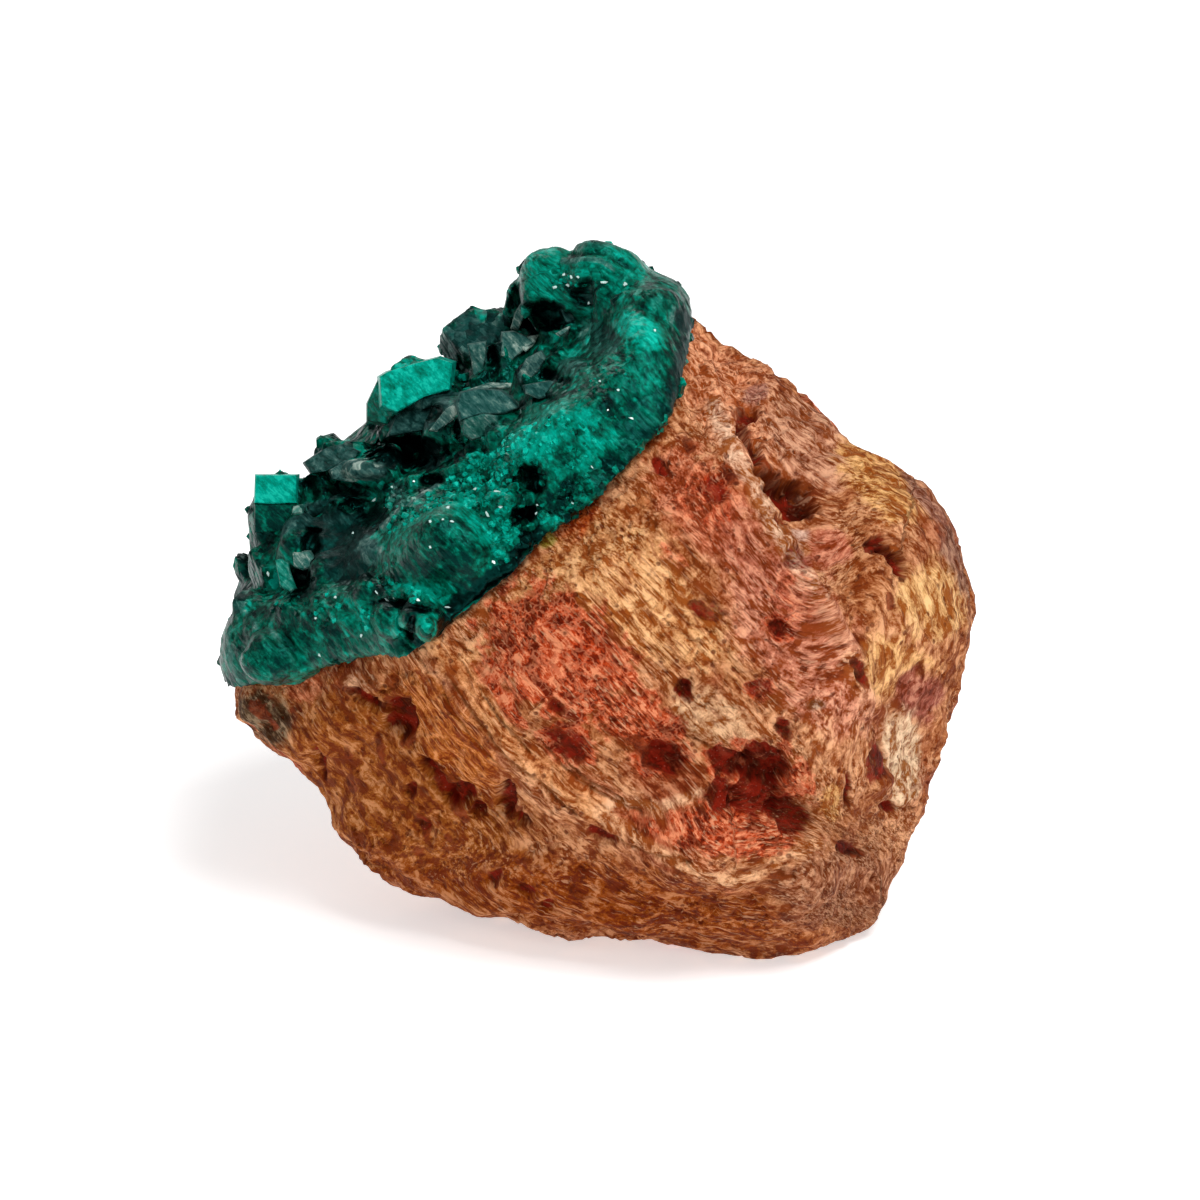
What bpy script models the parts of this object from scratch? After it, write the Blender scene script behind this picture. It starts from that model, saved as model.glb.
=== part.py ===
# Dioptase on matrix: a hand specimen, 60 mm wide. A lump of iron-stained stone carries a crust of emerald green
# dioptase crystals on its sloping upper left face. The crust is one solid, because its crystals grew into one
# another, and it sits on the stone with a hair of clearance.
import math
import random

import bmesh
import bpy
import numpy as np
from mathutils import Matrix, Vector, noise

MM = 0.001  # the sizes below are in millimetres, and the model is in metres

# The stone
STONE_FACES = 3900
LOOK_DOWN = 22.0  # the front view looks down at the stone by this angle, in degrees
FRONT_DEPTH = 20.5  # from the stone's middle towards the viewer
BACK_DEPTH = 26.0
LEAN_BACK = 0.12  # how far the widest contour goes back for each millimetre that it rises
BULGE = 3.0  # 2 is an ellipsoid, and more is boxier
EDGE = 17.0  # the higher, the sharper the edges between the stone's faces

# The contour of the stone as its front view shows it, in millimetres right of its middle and above it. Where the
# crust covers the stone, at the upper left, it runs just outside the face that carries the crust.
OUTLINE = [
    (29.9, -1.2), (29.6, 0.8), (28.6, 2.6), (28.4, 5.0), (26.8, 7.4), (24.4, 9.6), (21.0, 11.8), (18.6, 14.2),
    (15.6, 17.0), (12.2, 19.0), (8.6, 21.4), (6.8, 23.0), (2.6, 24.6), (-3.0, 23.6), (-9.0, 20.4),
    (-15.0, 16.0), (-21.0, 11.4), (-25.6, 6.2), (-28.2, 1.0), (-29.4, -4.0), (-29.2, -9.2), (-26.8, -11.8),
    (-23.8, -13.8), (-22.8, -17.0), (-21.2, -20.2), (-19.2, -22.6), (-16.6, -23.8), (-12.0, -24.0),
    (-8.0, -25.2), (-4.8, -26.2), (0.0, -27.2), (4.4, -27.9), (8.2, -29.2), (11.8, -29.6), (14.6, -30.0),
    (18.2, -28.6), (21.6, -25.6), (23.0, -22.0), (24.6, -19.0), (25.6, -16.4), (25.7, -12.6), (28.0, -7.6),
]  # fmt: skip

# The stone's faces in the front view: (right, up, near) is each face's direction, and the number is its distance
# from the stone's middle.
BROAD_FACES = [
    ((0.06, 0.06, 1.00), 18.4),  # the broad front face
    ((-0.46, -0.50, 0.74), 20.0),  # the lower left face, under the pale ridge
    ((0.62, 0.40, 0.68), 21.0),  # the upper right shoulder
    ((0.76, -0.30, 0.58), 24.0),  # the lower right flank
    ((0.14, -0.62, 0.77), 25.0),  # the strip above the foot
    ((0.30, 0.70, -0.66), 21.5),  # the back, above
    ((0.55, 0.02, -0.83), 21.0),  # the back, right
    ((-0.70, -0.05, -0.71), 23.0),  # the back, left
]

GROUND = 25.7  # from the stone's middle down to its resting face
CRUST_FACE = (-0.576, 0.680, 0.454)  # the direction of the face that carries the crust
CRUST_FACE_HEIGHT = 14.2  # from the stone's middle out to that face

CONTOUR_STEPS = 180
FACE_ROUNDING = 0.6  # how far the face that carries the crust may swell before it is flat

LUMPS = [(11.0, 0.9), (5.0, 0.5)]  # spacing and height of the stone's lumps
CHIPS = 46  # flat chips broken off all round
CHIP_DEPTH = (0.2, 1.3)
CHIP_EDGE = 60.0

# Hollows in the front of the stone: (right, up) of the middle, length, width, turn in degrees and depth
HOLLOWS = [
    ((12.2, -14.0), 9.0, 6.0, -40, 2.0),  # the dark red pit low on the right
    ((14.2, 8.2), 8.0, 4.0, -35, 1.9),  # the deepest pit, under the shoulder
    ((11.4, 13.8), 6.5, 2.6, -75, 1.5),
    ((17.6, 4.6), 8.0, 3.4, -45, 1.1),
    ((-16.0, -9.4), 5.5, 2.8, -65, 1.2),
    ((-9.6, -15.8), 7.0, 3.2, -45, 1.3),
    ((5.2, -10.4), 6.5, 3.2, -20, 0.9),
    ((23.4, 3.2), 5.0, 2.4, -50, 1.0),
    ((5.4, 10.2), 4.5, 2.4, -30, 0.8),
    ((13.8, -1.8), 4.5, 3.0, -35, 0.8),
]

# Ridges that stand proud of the front: the points that each follows, its width and its height
RIDGES = [
    ([(-13.4, -3.6), (-9.0, -9.4), (-4.6, -14.4), (1.0, -18.2), (8.0, -21.6), (13.0, -22.4), (18.0, -21.0)], 2.6, 1.0),
    ([(8.0, 19.0), (10.4, 14.0), (12.0, 9.0), (15.0, 3.6), (19.2, -1.8), (21.6, -8.0)], 2.2, 0.8),
]

# The crust
GAP = 0.3  # between the crust and the stone
CRUST_FACES = 4200
COATING = 1.3  # thickness of the crust between its crystals
RIM = 1.6  # how far in from its lower edge the crust's small crystals begin, in front
WRAP = 1.0  # how far down the stone's sides the crust reaches below its face

# Smooth swellings of the crust, massed crystal with no faces of its own: (right, up) of the middle, width and height
SWELLINGS = [
    ((-3.2, 24.6), 5.0, 4.4),  # under the dome at the top
    ((0.4, 24.0), 4.0, 2.2),
    ((4.0, 21.4), 3.8, 1.3),  # the right shoulder
    ((3.2, 17.4), 4.2, 1.6),
    ((-1.6, 13.2), 4.6, 1.9),  # the bright band
    ((-6.0, 9.6), 3.0, 1.0),
    ((-12.2, 4.6), 4.6, 2.4),  # under the large rounded crystal
    ((-20.0, -0.8), 4.0, 1.0),  # the rim at the lower left
    ((-25.6, -3.4), 4.0, 1.5),
]
SMOOTH_REACH = 0.55  # a swelling carries no small crystals within this share of its width
CRYSTAL_ROOT = 3.0  # how far a crystal goes on below its head, into the coating
RHOMB_SLOPE = 51.0  # slope of a dioptase crystal's three end faces, in degrees
SIDE_REACH = (0.78, 1.12)  # how far a crystal's six side faces grew, as a share of its radius
END_REACH = (-0.22, 0.22)  # the same for its end faces, from evenly grown

# The crystals that show best, in the front view: (right, up) of the head's middle, its height above the crust's
# face, its radius, and how its axis leans, (right, up, near), away from square to the face
MAIN_CRYSTALS = [
    ((-4.0, 26.5), 6.1, 3.4, (-0.2, 0.5, 0.2)),  # the dome at the top
    ((-0.4, 26.5), 5.2, 3.1, (0.2, 0.4, 0.3)),
    ((-6.4, 25.0), 4.9, 2.4, (-0.6, 0.2, 0.2)),
    ((3.6, 23.4), 3.0, 2.7, (0.7, 0.2, 0.2)),  # the right shoulder
    ((-3.6, 21.6), 2.6, 1.8, (-0.6, 0.4, 0.9)),
    ((-8.4, 23.0), 3.4, 2.4, (-0.2, 0.6, 0.2)),
    ((-11.2, 21.0), 4.0, 2.8, (-0.6, -0.1, 0.3)),
    ((-7.6, 20.2), 3.6, 1.9, (0.4, 0.6, 0.9)),
    ((-10.0, 17.8), 3.4, 2.0, (-0.6, -0.5, 0.7)),
    ((-5.0, 18.6), 3.2, 1.8, (0.9, 0.9, 0.2)),
    ((-4.4, 16.4), 2.8, 1.6, (-0.4, 0.9, 0.6)),
    ((-15.8, 17.0), 5.6, 3.3, (-0.7, 0.2, 0.5)),  # the bright crystal on the skyline
    ((-12.6, 15.0), 4.8, 2.8, (-0.3, 0.3, 0.7)),
    ((-17.4, 13.4), 3.8, 2.5, (-0.8, -0.4, 0.2)),
    ((-8.8, 15.0), 4.0, 2.6, (0.5, 0.3, 0.5)),
    ((-21.4, 12.0), 5.2, 2.4, (-0.5, 0.6, 0.2)),
    ((-18.0, 11.0), 4.6, 2.3, (0.3, -0.2, 0.8)),
    ((-26.0, 9.0), 6.4, 2.3, (0.5, 0.5, -0.2)),  # the blocky crystal on the left
    ((-23.0, 9.4), 5.2, 2.2, (0.1, 0.5, 0.6)),
    ((-20.0, 7.2), 3.0, 2.3, (0.5, -0.4, 0.4)),
    ((-24.4, 4.6), 4.4, 2.4, (-0.5, 0.1, 0.8)),
    ((-27.4, 3.4), 4.2, 2.4, (-0.7, 0.2, 0.0)),
    ((-22.4, 1.8), 3.2, 2.4, (-0.3, -0.5, 0.6)),
    ((-18.2, 4.0), 3.0, 2.2, (0.6, -0.2, 0.7)),
    ((-12.4, 5.0), 3.6, 4.2, (0.1, 0.2, 0.9)),  # the large rounded crystal
    ((-15.6, 3.0), 2.4, 2.2, (-0.4, -0.5, 0.6)),
    ((-14.6, 9.0), 2.8, 2.0, (-0.2, 0.4, 0.6)),
    ((-10.8, 10.2), 3.0, 2.0, (0.4, 0.3, 0.7)),
    ((-8.0, 12.4), 2.8, 2.0, (-0.3, -0.2, 0.6)),
    ((-3.8, 13.2), 2.8, 2.4, (0.2, 0.4, 0.9)),
    ((-0.2, 15.0), 2.4, 2.6, (0.6, 0.1, 0.6)),
    ((-7.6, 7.4), 2.2, 1.9, (0.7, -0.2, 1.0)),
    ((-14.4, -1.0), 1.8, 1.5, (0.2, -0.5, 0.9)),
    ((-16.8, -1.2), 1.8, 1.4, (-0.3, -0.5, 0.9)),
    ((-18.0, 0.8), 2.4, 1.8, (0.1, -0.1, 0.9)),
    ((-24.6, -0.8), 2.8, 2.2, (-0.5, -0.2, 0.7)),
    ((-28.2, -0.6), 2.8, 2.0, (-0.8, -0.1, 0.3)),
    ((-27.6, -4.6), 2.2, 2.0, (-0.8, -0.7, 0.4)),
]

FILLER_SPACING = 3.0  # between the smaller crystals that fill the rest of the crust
FILLER_RADIUS = (0.9, 1.8)
FILLER_LIFT = (0.0, 1.0)


def front_frame():
    """The front view's right, up and near directions in the model's own axes, as columns."""
    turn = math.radians(LOOK_DOWN)
    right = (1, 0, 0)
    up = (0, math.sin(turn), math.cos(turn))
    near = (0, -math.cos(turn), math.sin(turn))
    return Matrix((right, up, near)).transposed()


FRONT = front_frame()
DOWN = FRONT.inverted() @ Vector((0, 0, -1))
CRUST_OUT = Vector(CRUST_FACE).normalized()


def outline_radius(angle):
    """How far the front view's contour is from the middle in this direction."""
    ray = Vector((math.cos(angle), math.sin(angle)))
    for start, end in zip(OUTLINE, OUTLINE[1:] + OUTLINE[:1]):
        a, b = Vector(start), Vector(end)
        along = b - a
        turn = ray.x * along.y - ray.y * along.x
        if abs(turn) < 1e-9:
            continue
        distance = (a.x * along.y - a.y * along.x) / turn
        share = (a.x * ray.y - a.y * ray.x) / turn
        if distance > 0 and -1e-6 <= share <= 1 + 1e-6:
            return distance
    raise ValueError("the outline doesn't go round the middle")


def even_directions(count):
    """Directions spread evenly all round, along a spiral."""
    golden = math.pi * (3 - math.sqrt(5))
    found = []
    for i in range(count):
        height = 1 - 2 * (i + 0.5) / count
        across = math.sqrt(1 - height * height)
        found.append(Vector((across * math.cos(i * golden), across * math.sin(i * golden), height)))
    return found


def smooth_form(direction):
    """The stone's radius in this direction before lumps, chips and hollows."""
    right, up, near = direction
    near += LEAN_BACK * up
    contour = outline_radius(math.atan2(up, right))
    depth = FRONT_DEPTH if near > 0 else BACK_DEPTH
    rounded = (math.hypot(right, up) / contour) ** BULGE + (abs(near) / depth) ** BULGE
    total = rounded ** (EDGE / BULGE)
    for facing, distance in BROAD_FACES:
        total += max(Vector(facing).normalized().dot(direction) / distance, 0) ** EDGE
    total += max(DOWN.dot(direction) / GROUND, 0) ** (2 * EDGE)
    total += max(CRUST_OUT.dot(direction) / CRUST_FACE_HEIGHT, 0) ** EDGE
    return total ** (-1 / EDGE)


def chip_faces(picker):
    """Flat breaks all round the stone, each a direction and a distance."""
    faces = []
    for facing in even_directions(CHIPS):
        jitter = Vector([picker.uniform(-0.3, 0.3) for _ in range(3)])
        facing = (facing + jitter).normalized()
        faces.append((facing, smooth_form(facing) - picker.uniform(*CHIP_DEPTH)))
    return faces


def distance_to_path(point, path):
    """From a point of the front view to the nearest point of a path."""
    best = math.inf
    for start, end in zip(path, path[1:]):
        a, b = Vector(start), Vector(end)
        along = b - a
        share = min(max((point - a).dot(along) / along.length_squared, 0), 1)
        best = min(best, (point - a - share * along).length)
    return best


def relief(point):
    """Height of the stone's lumps, ridges and hollows at a point of its surface."""
    height = 0
    for spacing, size in LUMPS:
        height += size * noise.noise(point / spacing)
    if point.z < 0:
        return height
    seen = point.xy
    for path, width, rise in RIDGES:
        height += rise * math.exp(-((distance_to_path(seen, path) / width) ** 2) * 2)
    for middle, length, width, turn, depth in HOLLOWS:
        offset = Matrix.Rotation(-math.radians(turn), 2) @ (seen - Vector(middle))
        reach = (2 * offset.x / length) ** 2 + (2 * offset.y / width) ** 2
        height -= depth * math.exp(-reach)
    return height


def chipped_form(direction, chips):
    """The stone's radius in this direction with its chips."""
    total = smooth_form(direction) ** -CHIP_EDGE
    for facing, distance in chips:
        total += max(facing.dot(direction) / distance, 0) ** CHIP_EDGE
    return total ** (-1 / CHIP_EDGE)


def contour_shares(chips):
    """For each step round the front view, the share of the outline that the stone reaches before it is drawn out."""
    shares = []
    for step in range(CONTOUR_STEPS):
        angle = math.tau * step / CONTOUR_STEPS
        reach = 0
        for tilt in range(-60, 61, 6):
            flat = math.cos(math.radians(tilt))
            direction = Vector(
                (math.cos(angle) * flat, math.sin(angle) * flat, math.sin(math.radians(tilt)))
            )
            reach = max(reach, chipped_form(direction, chips) * flat)
        shares.append(reach / outline_radius(angle))
    return shares


def stone_point(direction, form, grown=0.0):
    """The stone's surface in this direction, in the front view's frame, grown outwards by a small amount."""
    chips, shares = form
    point = direction * chipped_form(direction, chips)
    place = math.atan2(point.y, point.x) / math.tau * CONTOUR_STEPS
    before = math.floor(place)
    mix = place - before
    share = shares[before % CONTOUR_STEPS] * (1 - mix) + shares[(before + 1) % CONTOUR_STEPS] * mix
    point.x /= share
    point.y /= share
    point += point.normalized() * (relief(point) + grown)
    for facing, distance in ((DOWN, GROUND), (CRUST_OUT, CRUST_FACE_HEIGHT + FACE_ROUNDING)):
        over = facing.dot(point) / (distance + grown)
        if over > 1:
            point /= over
    return point


def hull_object(name, points):
    """A closed object from points on a star-shaped surface: joined in the order in which a ball's hull joins them."""
    shape = bmesh.new()
    ball = [shape.verts.new(p.normalized()) for p in points]
    shape.verts.index_update()
    places = {vert: point for vert, point in zip(ball, points)}
    bmesh.ops.convex_hull(shape, input=ball, use_existing_faces=False)
    bmesh.ops.recalc_face_normals(shape, faces=shape.faces)
    for vert, point in places.items():
        vert.co = FRONT @ point * MM
    return finish_object(name, shape)


def finish_object(name, shape):
    mesh = bpy.data.meshes.new(name)
    shape.to_mesh(mesh)
    shape.free()
    made = bpy.data.objects.new(name, mesh)
    bpy.context.scene.collection.objects.link(made)
    return made


def helper(made):
    """Marks a cutter or a guide, which isn't part of the object."""
    made.hide_render = True
    made.display_type = "WIRE"
    return made


def crystal_object(name, head, axis, radius, height, picker):
    """One dioptase crystal: a block cut by six side faces and three end faces, no two grown alike."""
    slope = math.radians(RHOMB_SLOPE)
    spin = picker.uniform(0, math.tau)
    faces = []
    for side in range(6):
        turn = spin + math.radians(60 * side)
        outward = Vector((math.cos(turn), math.sin(turn), 0))
        faces.append((outward, radius * picker.uniform(*SIDE_REACH)))
        if side % 2 == 0:
            upward = Vector((math.sin(slope) * outward.x, math.sin(slope) * outward.y, math.cos(slope)))
            faces.append((upward, radius * (0.42 + picker.uniform(*END_REACH))))
    shape = bmesh.new()
    bmesh.ops.create_cube(shape, size=2 * (height + radius * 2))
    faces.append((Vector((0, 0, -1)), height))
    for outward, distance in faces:
        everything = shape.verts[:] + shape.edges[:] + shape.faces[:]
        cut = bmesh.ops.bisect_plane(
            shape, geom=everything, plane_co=outward * distance, plane_no=outward, clear_outer=True
        )
        rim = [e for e in cut["geom_cut"] if isinstance(e, bmesh.types.BMEdge)]
        bmesh.ops.holes_fill(shape, edges=rim)
    bmesh.ops.recalc_face_normals(shape, faces=shape.faces)
    upright = axis.to_track_quat("Z", "Y").to_matrix()
    for vert in shape.verts:
        vert.co = FRONT @ (head + upright @ vert.co) * MM
    return helper(finish_object(name, shape))


def main_crystals(picker):
    """The crystals that show best, each where the front view has it."""
    made = []
    for number, (seen, lift, radius, lean) in enumerate(MAIN_CRYSTALS, 1):
        right, up = seen
        near = (CRUST_FACE_HEIGHT + lift - CRUST_OUT.x * right - CRUST_OUT.y * up) / CRUST_OUT.z
        axis = (CRUST_OUT + Vector(lean)).normalized()
        made.append(
            crystal_object(
                f"crystal_{number}",
                Vector((right, up, near)),
                axis,
                radius,
                lift + CRYSTAL_ROOT,
                picker,
            )
        )
    return made


def swelling(point):
    """How much thicker the crust is at a point of the front view, and whether small crystals leave it smooth."""
    height, smooth = 0, False
    if point.z < -2 * COATING:
        return height, smooth
    for middle, width, rise in SWELLINGS:
        away = (point.xy - Vector(middle)).length / width
        height += rise * math.exp(-((2 * away) ** 2) / 2)
        smooth = smooth or away < SMOOTH_REACH
    return height, smooth


def filler_crystals(picker, form, taken):
    """Smaller crystals in what is left of the crust, round to the side that the front view doesn't show."""
    made = []
    for direction in even_directions(1500):
        point = stone_point(direction, form, GAP + COATING)
        rim = RIM if point.z > 0 else 0.3
        if point.dot(CRUST_OUT) < CRUST_FACE_HEIGHT - WRAP + rim:
            continue
        if swelling(point)[1] or min((point - other).length for other in taken) < FILLER_SPACING:
            continue
        taken.append(point)
        lift = picker.uniform(*FILLER_LIFT)
        outward = (CRUST_OUT * 1.2 + direction * 0.8).normalized()
        lean = Vector([picker.uniform(-0.45, 0.45) for _ in range(3)])
        axis = (outward + lean).normalized()
        made.append(
            crystal_object(
                f"filler_{len(made) + 1}",
                point + axis * lift,
                axis,
                picker.uniform(*FILLER_RADIUS),
                lift + COATING,
                picker,
            )
        )
    return made


def coating_object(form):
    """The crust between its crystals: a thin cap over the face that carries them, with its swellings."""
    border = CRUST_FACE_HEIGHT - WRAP
    points = []
    for direction in even_directions(CRUST_FACES // 2 + 2):
        thickness = COATING + GAP + swelling(stone_point(direction, form))[0]
        points.append(stone_point(direction, form, thickness))
    cap = hull_object("crust_cap", points)
    shape = bmesh.new()
    shape.from_mesh(cap.data)
    bpy.data.objects.remove(cap)
    outward = FRONT @ CRUST_OUT
    everything = shape.verts[:] + shape.edges[:] + shape.faces[:]
    cut = bmesh.ops.bisect_plane(
        shape, geom=everything, plane_co=outward * border * MM, plane_no=outward, clear_inner=True
    )
    edges = [e for e in cut["geom_cut"] if isinstance(e, bmesh.types.BMEdge)]
    bmesh.ops.holes_fill(shape, edges=edges)
    bmesh.ops.triangulate(shape, faces=[f for f in shape.faces if len(f.verts) > 4])
    bmesh.ops.recalc_face_normals(shape, faces=shape.faces)
    return finish_object("dioptase_crust", shape)


def apply_modifiers(made):
    """Keeps the object's evaluated mesh as its own, so that the helpers can go."""
    bpy.context.view_layer.update()
    graph = bpy.context.evaluated_depsgraph_get()
    mesh = bpy.data.meshes.new_from_object(made.evaluated_get(graph))
    made.modifiers.clear()
    made.data = mesh


def volume_of(faces):
    """The volume inside closed faces, below zero if they point inwards."""
    total = 0
    for face in faces:
        first = face.verts[0].co
        for a, b in zip(face.verts[1:-1], face.verts[2:]):
            total += first.dot(a.co.cross(b.co)) / 6
    return total


def drop_pockets(made):
    """Fills the sealed pockets between crystals, and drops crumbs: only the largest closed surface stays."""
    shape = bmesh.new()
    shape.from_mesh(made.data)
    left = set(shape.faces)
    shells = []
    while left:
        shell, edge_of = set(), [left.pop()]
        while edge_of:
            face = edge_of.pop()
            shell.add(face)
            for neighbour in (f for e in face.edges for f in e.link_faces):
                if neighbour in left:
                    left.remove(neighbour)
                    edge_of.append(neighbour)
        shells.append(shell)
    shells.sort(key=volume_of)
    unwanted = [face for shell in shells[:-1] for face in shell]
    bmesh.ops.delete(shape, geom=unwanted, context="FACES")
    shape.to_mesh(made.data)
    shape.free()


def tidy_flats(made):
    """Joins the flat triangles that the Booleans leave on each crystal face."""
    shape = bmesh.new()
    shape.from_mesh(made.data)
    bmesh.ops.dissolve_limit(
        shape, angle_limit=math.radians(0.6), verts=shape.verts, edges=shape.edges
    )
    bmesh.ops.triangulate(shape, faces=shape.faces)
    shape.to_mesh(made.data)
    shape.free()


def crust_object(picker, form):
    """The whole crust as one solid, cut back from the stone."""
    crust = coating_object(form)
    crystals = main_crystals(picker)
    taken = []
    for seen, lift, radius, lean in MAIN_CRYSTALS:
        near = (CRUST_FACE_HEIGHT - CRUST_OUT.x * seen[0] - CRUST_OUT.y * seen[1]) / CRUST_OUT.z
        taken.append(Vector((*seen, near)))
    crystals += filler_crystals(picker, form, taken)
    group = bpy.data.collections.new("crystals")
    bpy.context.scene.collection.children.link(group)
    for crystal in crystals:
        group.objects.link(crystal)
        bpy.context.scene.collection.objects.unlink(crystal)
    union = crust.modifiers.new("crystals", "BOOLEAN")
    union.operation = "UNION"
    union.operand_type = "COLLECTION"
    union.collection = group
    grown = [stone_point(d, form, GAP) for d in even_directions(STONE_FACES // 2 + 2)]
    clearance = helper(hull_object("clearance", grown))
    cut = crust.modifiers.new("clearance", "BOOLEAN")
    cut.operation = "DIFFERENCE"
    cut.object = clearance
    apply_modifiers(crust)
    for unused in crystals + [clearance]:
        bpy.data.objects.remove(unused)
    bpy.data.collections.remove(group)
    drop_pockets(crust)
    tidy_flats(crust)
    return crust


def give_material(made, name, colour, roughness, metallic=0.0):
    material = bpy.data.materials.new(name)
    material.use_nodes = True
    shader = material.node_tree.nodes["Principled BSDF"]
    shader.inputs["Base Color"].default_value = (*colour, 1)
    shader.inputs["Roughness"].default_value = roughness
    shader.inputs["Metallic"].default_value = metallic
    made.data.materials.clear()
    made.data.materials.append(material)


def stand_at_origin(objects):
    """Moves everything so that the object stands on z = 0 with the middle of its box over the origin."""
    points = np.array([v.co for made in objects for v in made.data.vertices])
    low, high = points.min(axis=0), points.max(axis=0)
    middle = Vector(((low[0] + high[0]) / 2, (low[1] + high[1]) / 2, low[2]))
    for made in objects:
        made.data.transform(Matrix.Translation(-middle))


def main():
    for old in list(bpy.data.objects):
        bpy.data.objects.remove(old)
    picker = random.Random(7)
    chips = chip_faces(picker)
    form = (chips, contour_shares(chips))
    stone_points = [stone_point(d, form) for d in even_directions(STONE_FACES // 2 + 2)]
    stone = hull_object("matrix", stone_points)
    crust = crust_object(picker, form)
    stand_at_origin([stone, crust])
    give_material(stone, "iron_stained_stone", (0.42, 0.17, 0.08), 0.85)
    give_material(crust, "dioptase", (0.01, 0.20, 0.14), 0.2)


main()
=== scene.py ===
import math
import random

import bmesh
import bpy
import numpy as np
from mathutils import Matrix, Vector, noise
from mathutils.bvhtree import BVHTree


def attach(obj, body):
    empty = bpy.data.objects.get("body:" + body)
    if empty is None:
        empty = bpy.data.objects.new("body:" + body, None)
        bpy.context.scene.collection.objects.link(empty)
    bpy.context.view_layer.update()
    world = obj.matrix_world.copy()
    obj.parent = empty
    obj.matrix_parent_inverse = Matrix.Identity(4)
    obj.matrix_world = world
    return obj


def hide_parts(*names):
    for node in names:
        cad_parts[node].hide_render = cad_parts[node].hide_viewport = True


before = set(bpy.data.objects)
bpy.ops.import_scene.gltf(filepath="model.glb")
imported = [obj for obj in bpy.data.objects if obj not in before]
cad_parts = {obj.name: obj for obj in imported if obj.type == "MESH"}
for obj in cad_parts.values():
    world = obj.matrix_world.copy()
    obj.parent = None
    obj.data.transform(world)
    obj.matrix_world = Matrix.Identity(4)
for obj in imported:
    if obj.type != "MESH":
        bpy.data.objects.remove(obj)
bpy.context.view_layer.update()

mm = 0.001

# The view. Every place below that is given by a pixel goes through this camera.
view = {
    "pictureSize": 1200,  # pixels each way
    "pixel": 0.0801 * mm,  # what one pixel covers at the specimen's middle
    "distance": 0.6,
    "lookDown": 22,  # degrees
    "filmWidth": 36,
    "clipStart": 0.05,
    "centreRounds": 4,  # steps that centre the outline on the picture
}
lookDown = math.radians(view["lookDown"])
right = Vector((1, 0, 0))
up = Vector((0, math.sin(lookDown), math.cos(lookDown)))
near = Vector((0, -math.cos(lookDown), math.sin(lookDown)))
viewAxes = np.array([right, up, near])


def pointsOf(mesh):
    found = np.zeros(len(mesh.vertices) * 3)
    mesh.vertices.foreach_get("co", found)
    return found.reshape(-1, 3)


def normalsOf(mesh):
    found = np.zeros(len(mesh.vertices) * 3, np.float32)
    mesh.vertex_normals.foreach_get("vector", found)
    return found.reshape(-1, 3).astype(float)


def projected(points, middle):
    # right and up of the middle on the picture, in metres at the middle's distance
    away = (points - middle) @ viewAxes.T
    return away[:, :2] * (view["distance"] / (view["distance"] - away[:, 2]))[:, None]


def findMiddle():
    # the picture has the specimen's outline centred
    points = np.concatenate([pointsOf(node.data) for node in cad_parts.values()])
    middle = (points.min(0) + points.max(0)) / 2
    for _ in range(view["centreRounds"]):
        shown = projected(points, middle)
        offset = (shown.min(0) + shown.max(0)) / 2
        middle = middle + offset @ viewAxes[:2]
    return middle


viewMiddle = findMiddle()
eye = Vector(viewMiddle) + near * view["distance"]
half = view["pictureSize"] / 2


def toPixels(points):
    shown = projected(points, viewMiddle) / view["pixel"]
    return np.stack([half + shown[:, 0], half - shown[:, 1]], 1)


def pixelRay(x, y):
    aim = Vector(viewMiddle) + (right * (x - half) + up * (half - y)) * view["pixel"]
    return eye, (aim - eye).normalized()


def addObject(name, data):
    made = bpy.data.objects.new(name, data)
    bpy.context.scene.collection.objects.link(made)
    return made


def makeCamera():
    data = bpy.data.cameras.new("camera")
    data.sensor_width = view["filmWidth"]
    data.lens = view["filmWidth"] * view["distance"] / (view["pictureSize"] * view["pixel"])
    data.clip_start = view["clipStart"]
    camera = addObject("camera", data)
    place = Matrix((right, up, near)).transposed().to_4x4()
    place.translation = eye
    camera.matrix_world = place
    bpy.context.scene.camera = camera


# Soft light, as in a light tent: a main panel above, lower ones round about
studio = {
    "floorSize": 3.0,
    "floorColour": (0.92, 0.92, 0.92),
    "floorGlow": 0.50,  # a lit floor, as a light tent's is
    "skyColour": (0.97, 0.985, 1.0),
    "skyStrength": 0.25,
    "panels": [  # towards the panel from the specimen, distance, size and power
        ((0.30, -0.42, 1.0), 0.42, 0.20, 1.55),
        ((-0.9, -0.5, 0.55), 0.45, 0.16, 0.22),
        ((0.7, -0.9, 0.35), 0.50, 0.22, 0.40),
        ((-0.2, 0.9, 0.7), 0.45, 0.20, 0.30),
    ],
}


def lightStudio():
    world = bpy.data.worlds.new("studio")
    bpy.context.scene.world = world
    world.use_nodes = True
    sky = world.node_tree.nodes["Background"]
    sky.inputs["Color"].default_value = (*studio["skyColour"], 1)
    sky.inputs["Strength"].default_value = studio["skyStrength"]
    for number, (towards, distance, size, power) in enumerate(studio["panels"], 1):
        data = bpy.data.lights.new(f"panel {number}", "AREA")
        data.shape = "SQUARE"
        data.size = size
        data.energy = power
        panel = addObject(f"panel {number}", data)
        panel.location = Vector(viewMiddle) + Vector(towards).normalized() * distance
        panel.rotation_euler = Vector(towards).to_track_quat("Z", "Y").to_euler()


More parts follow.
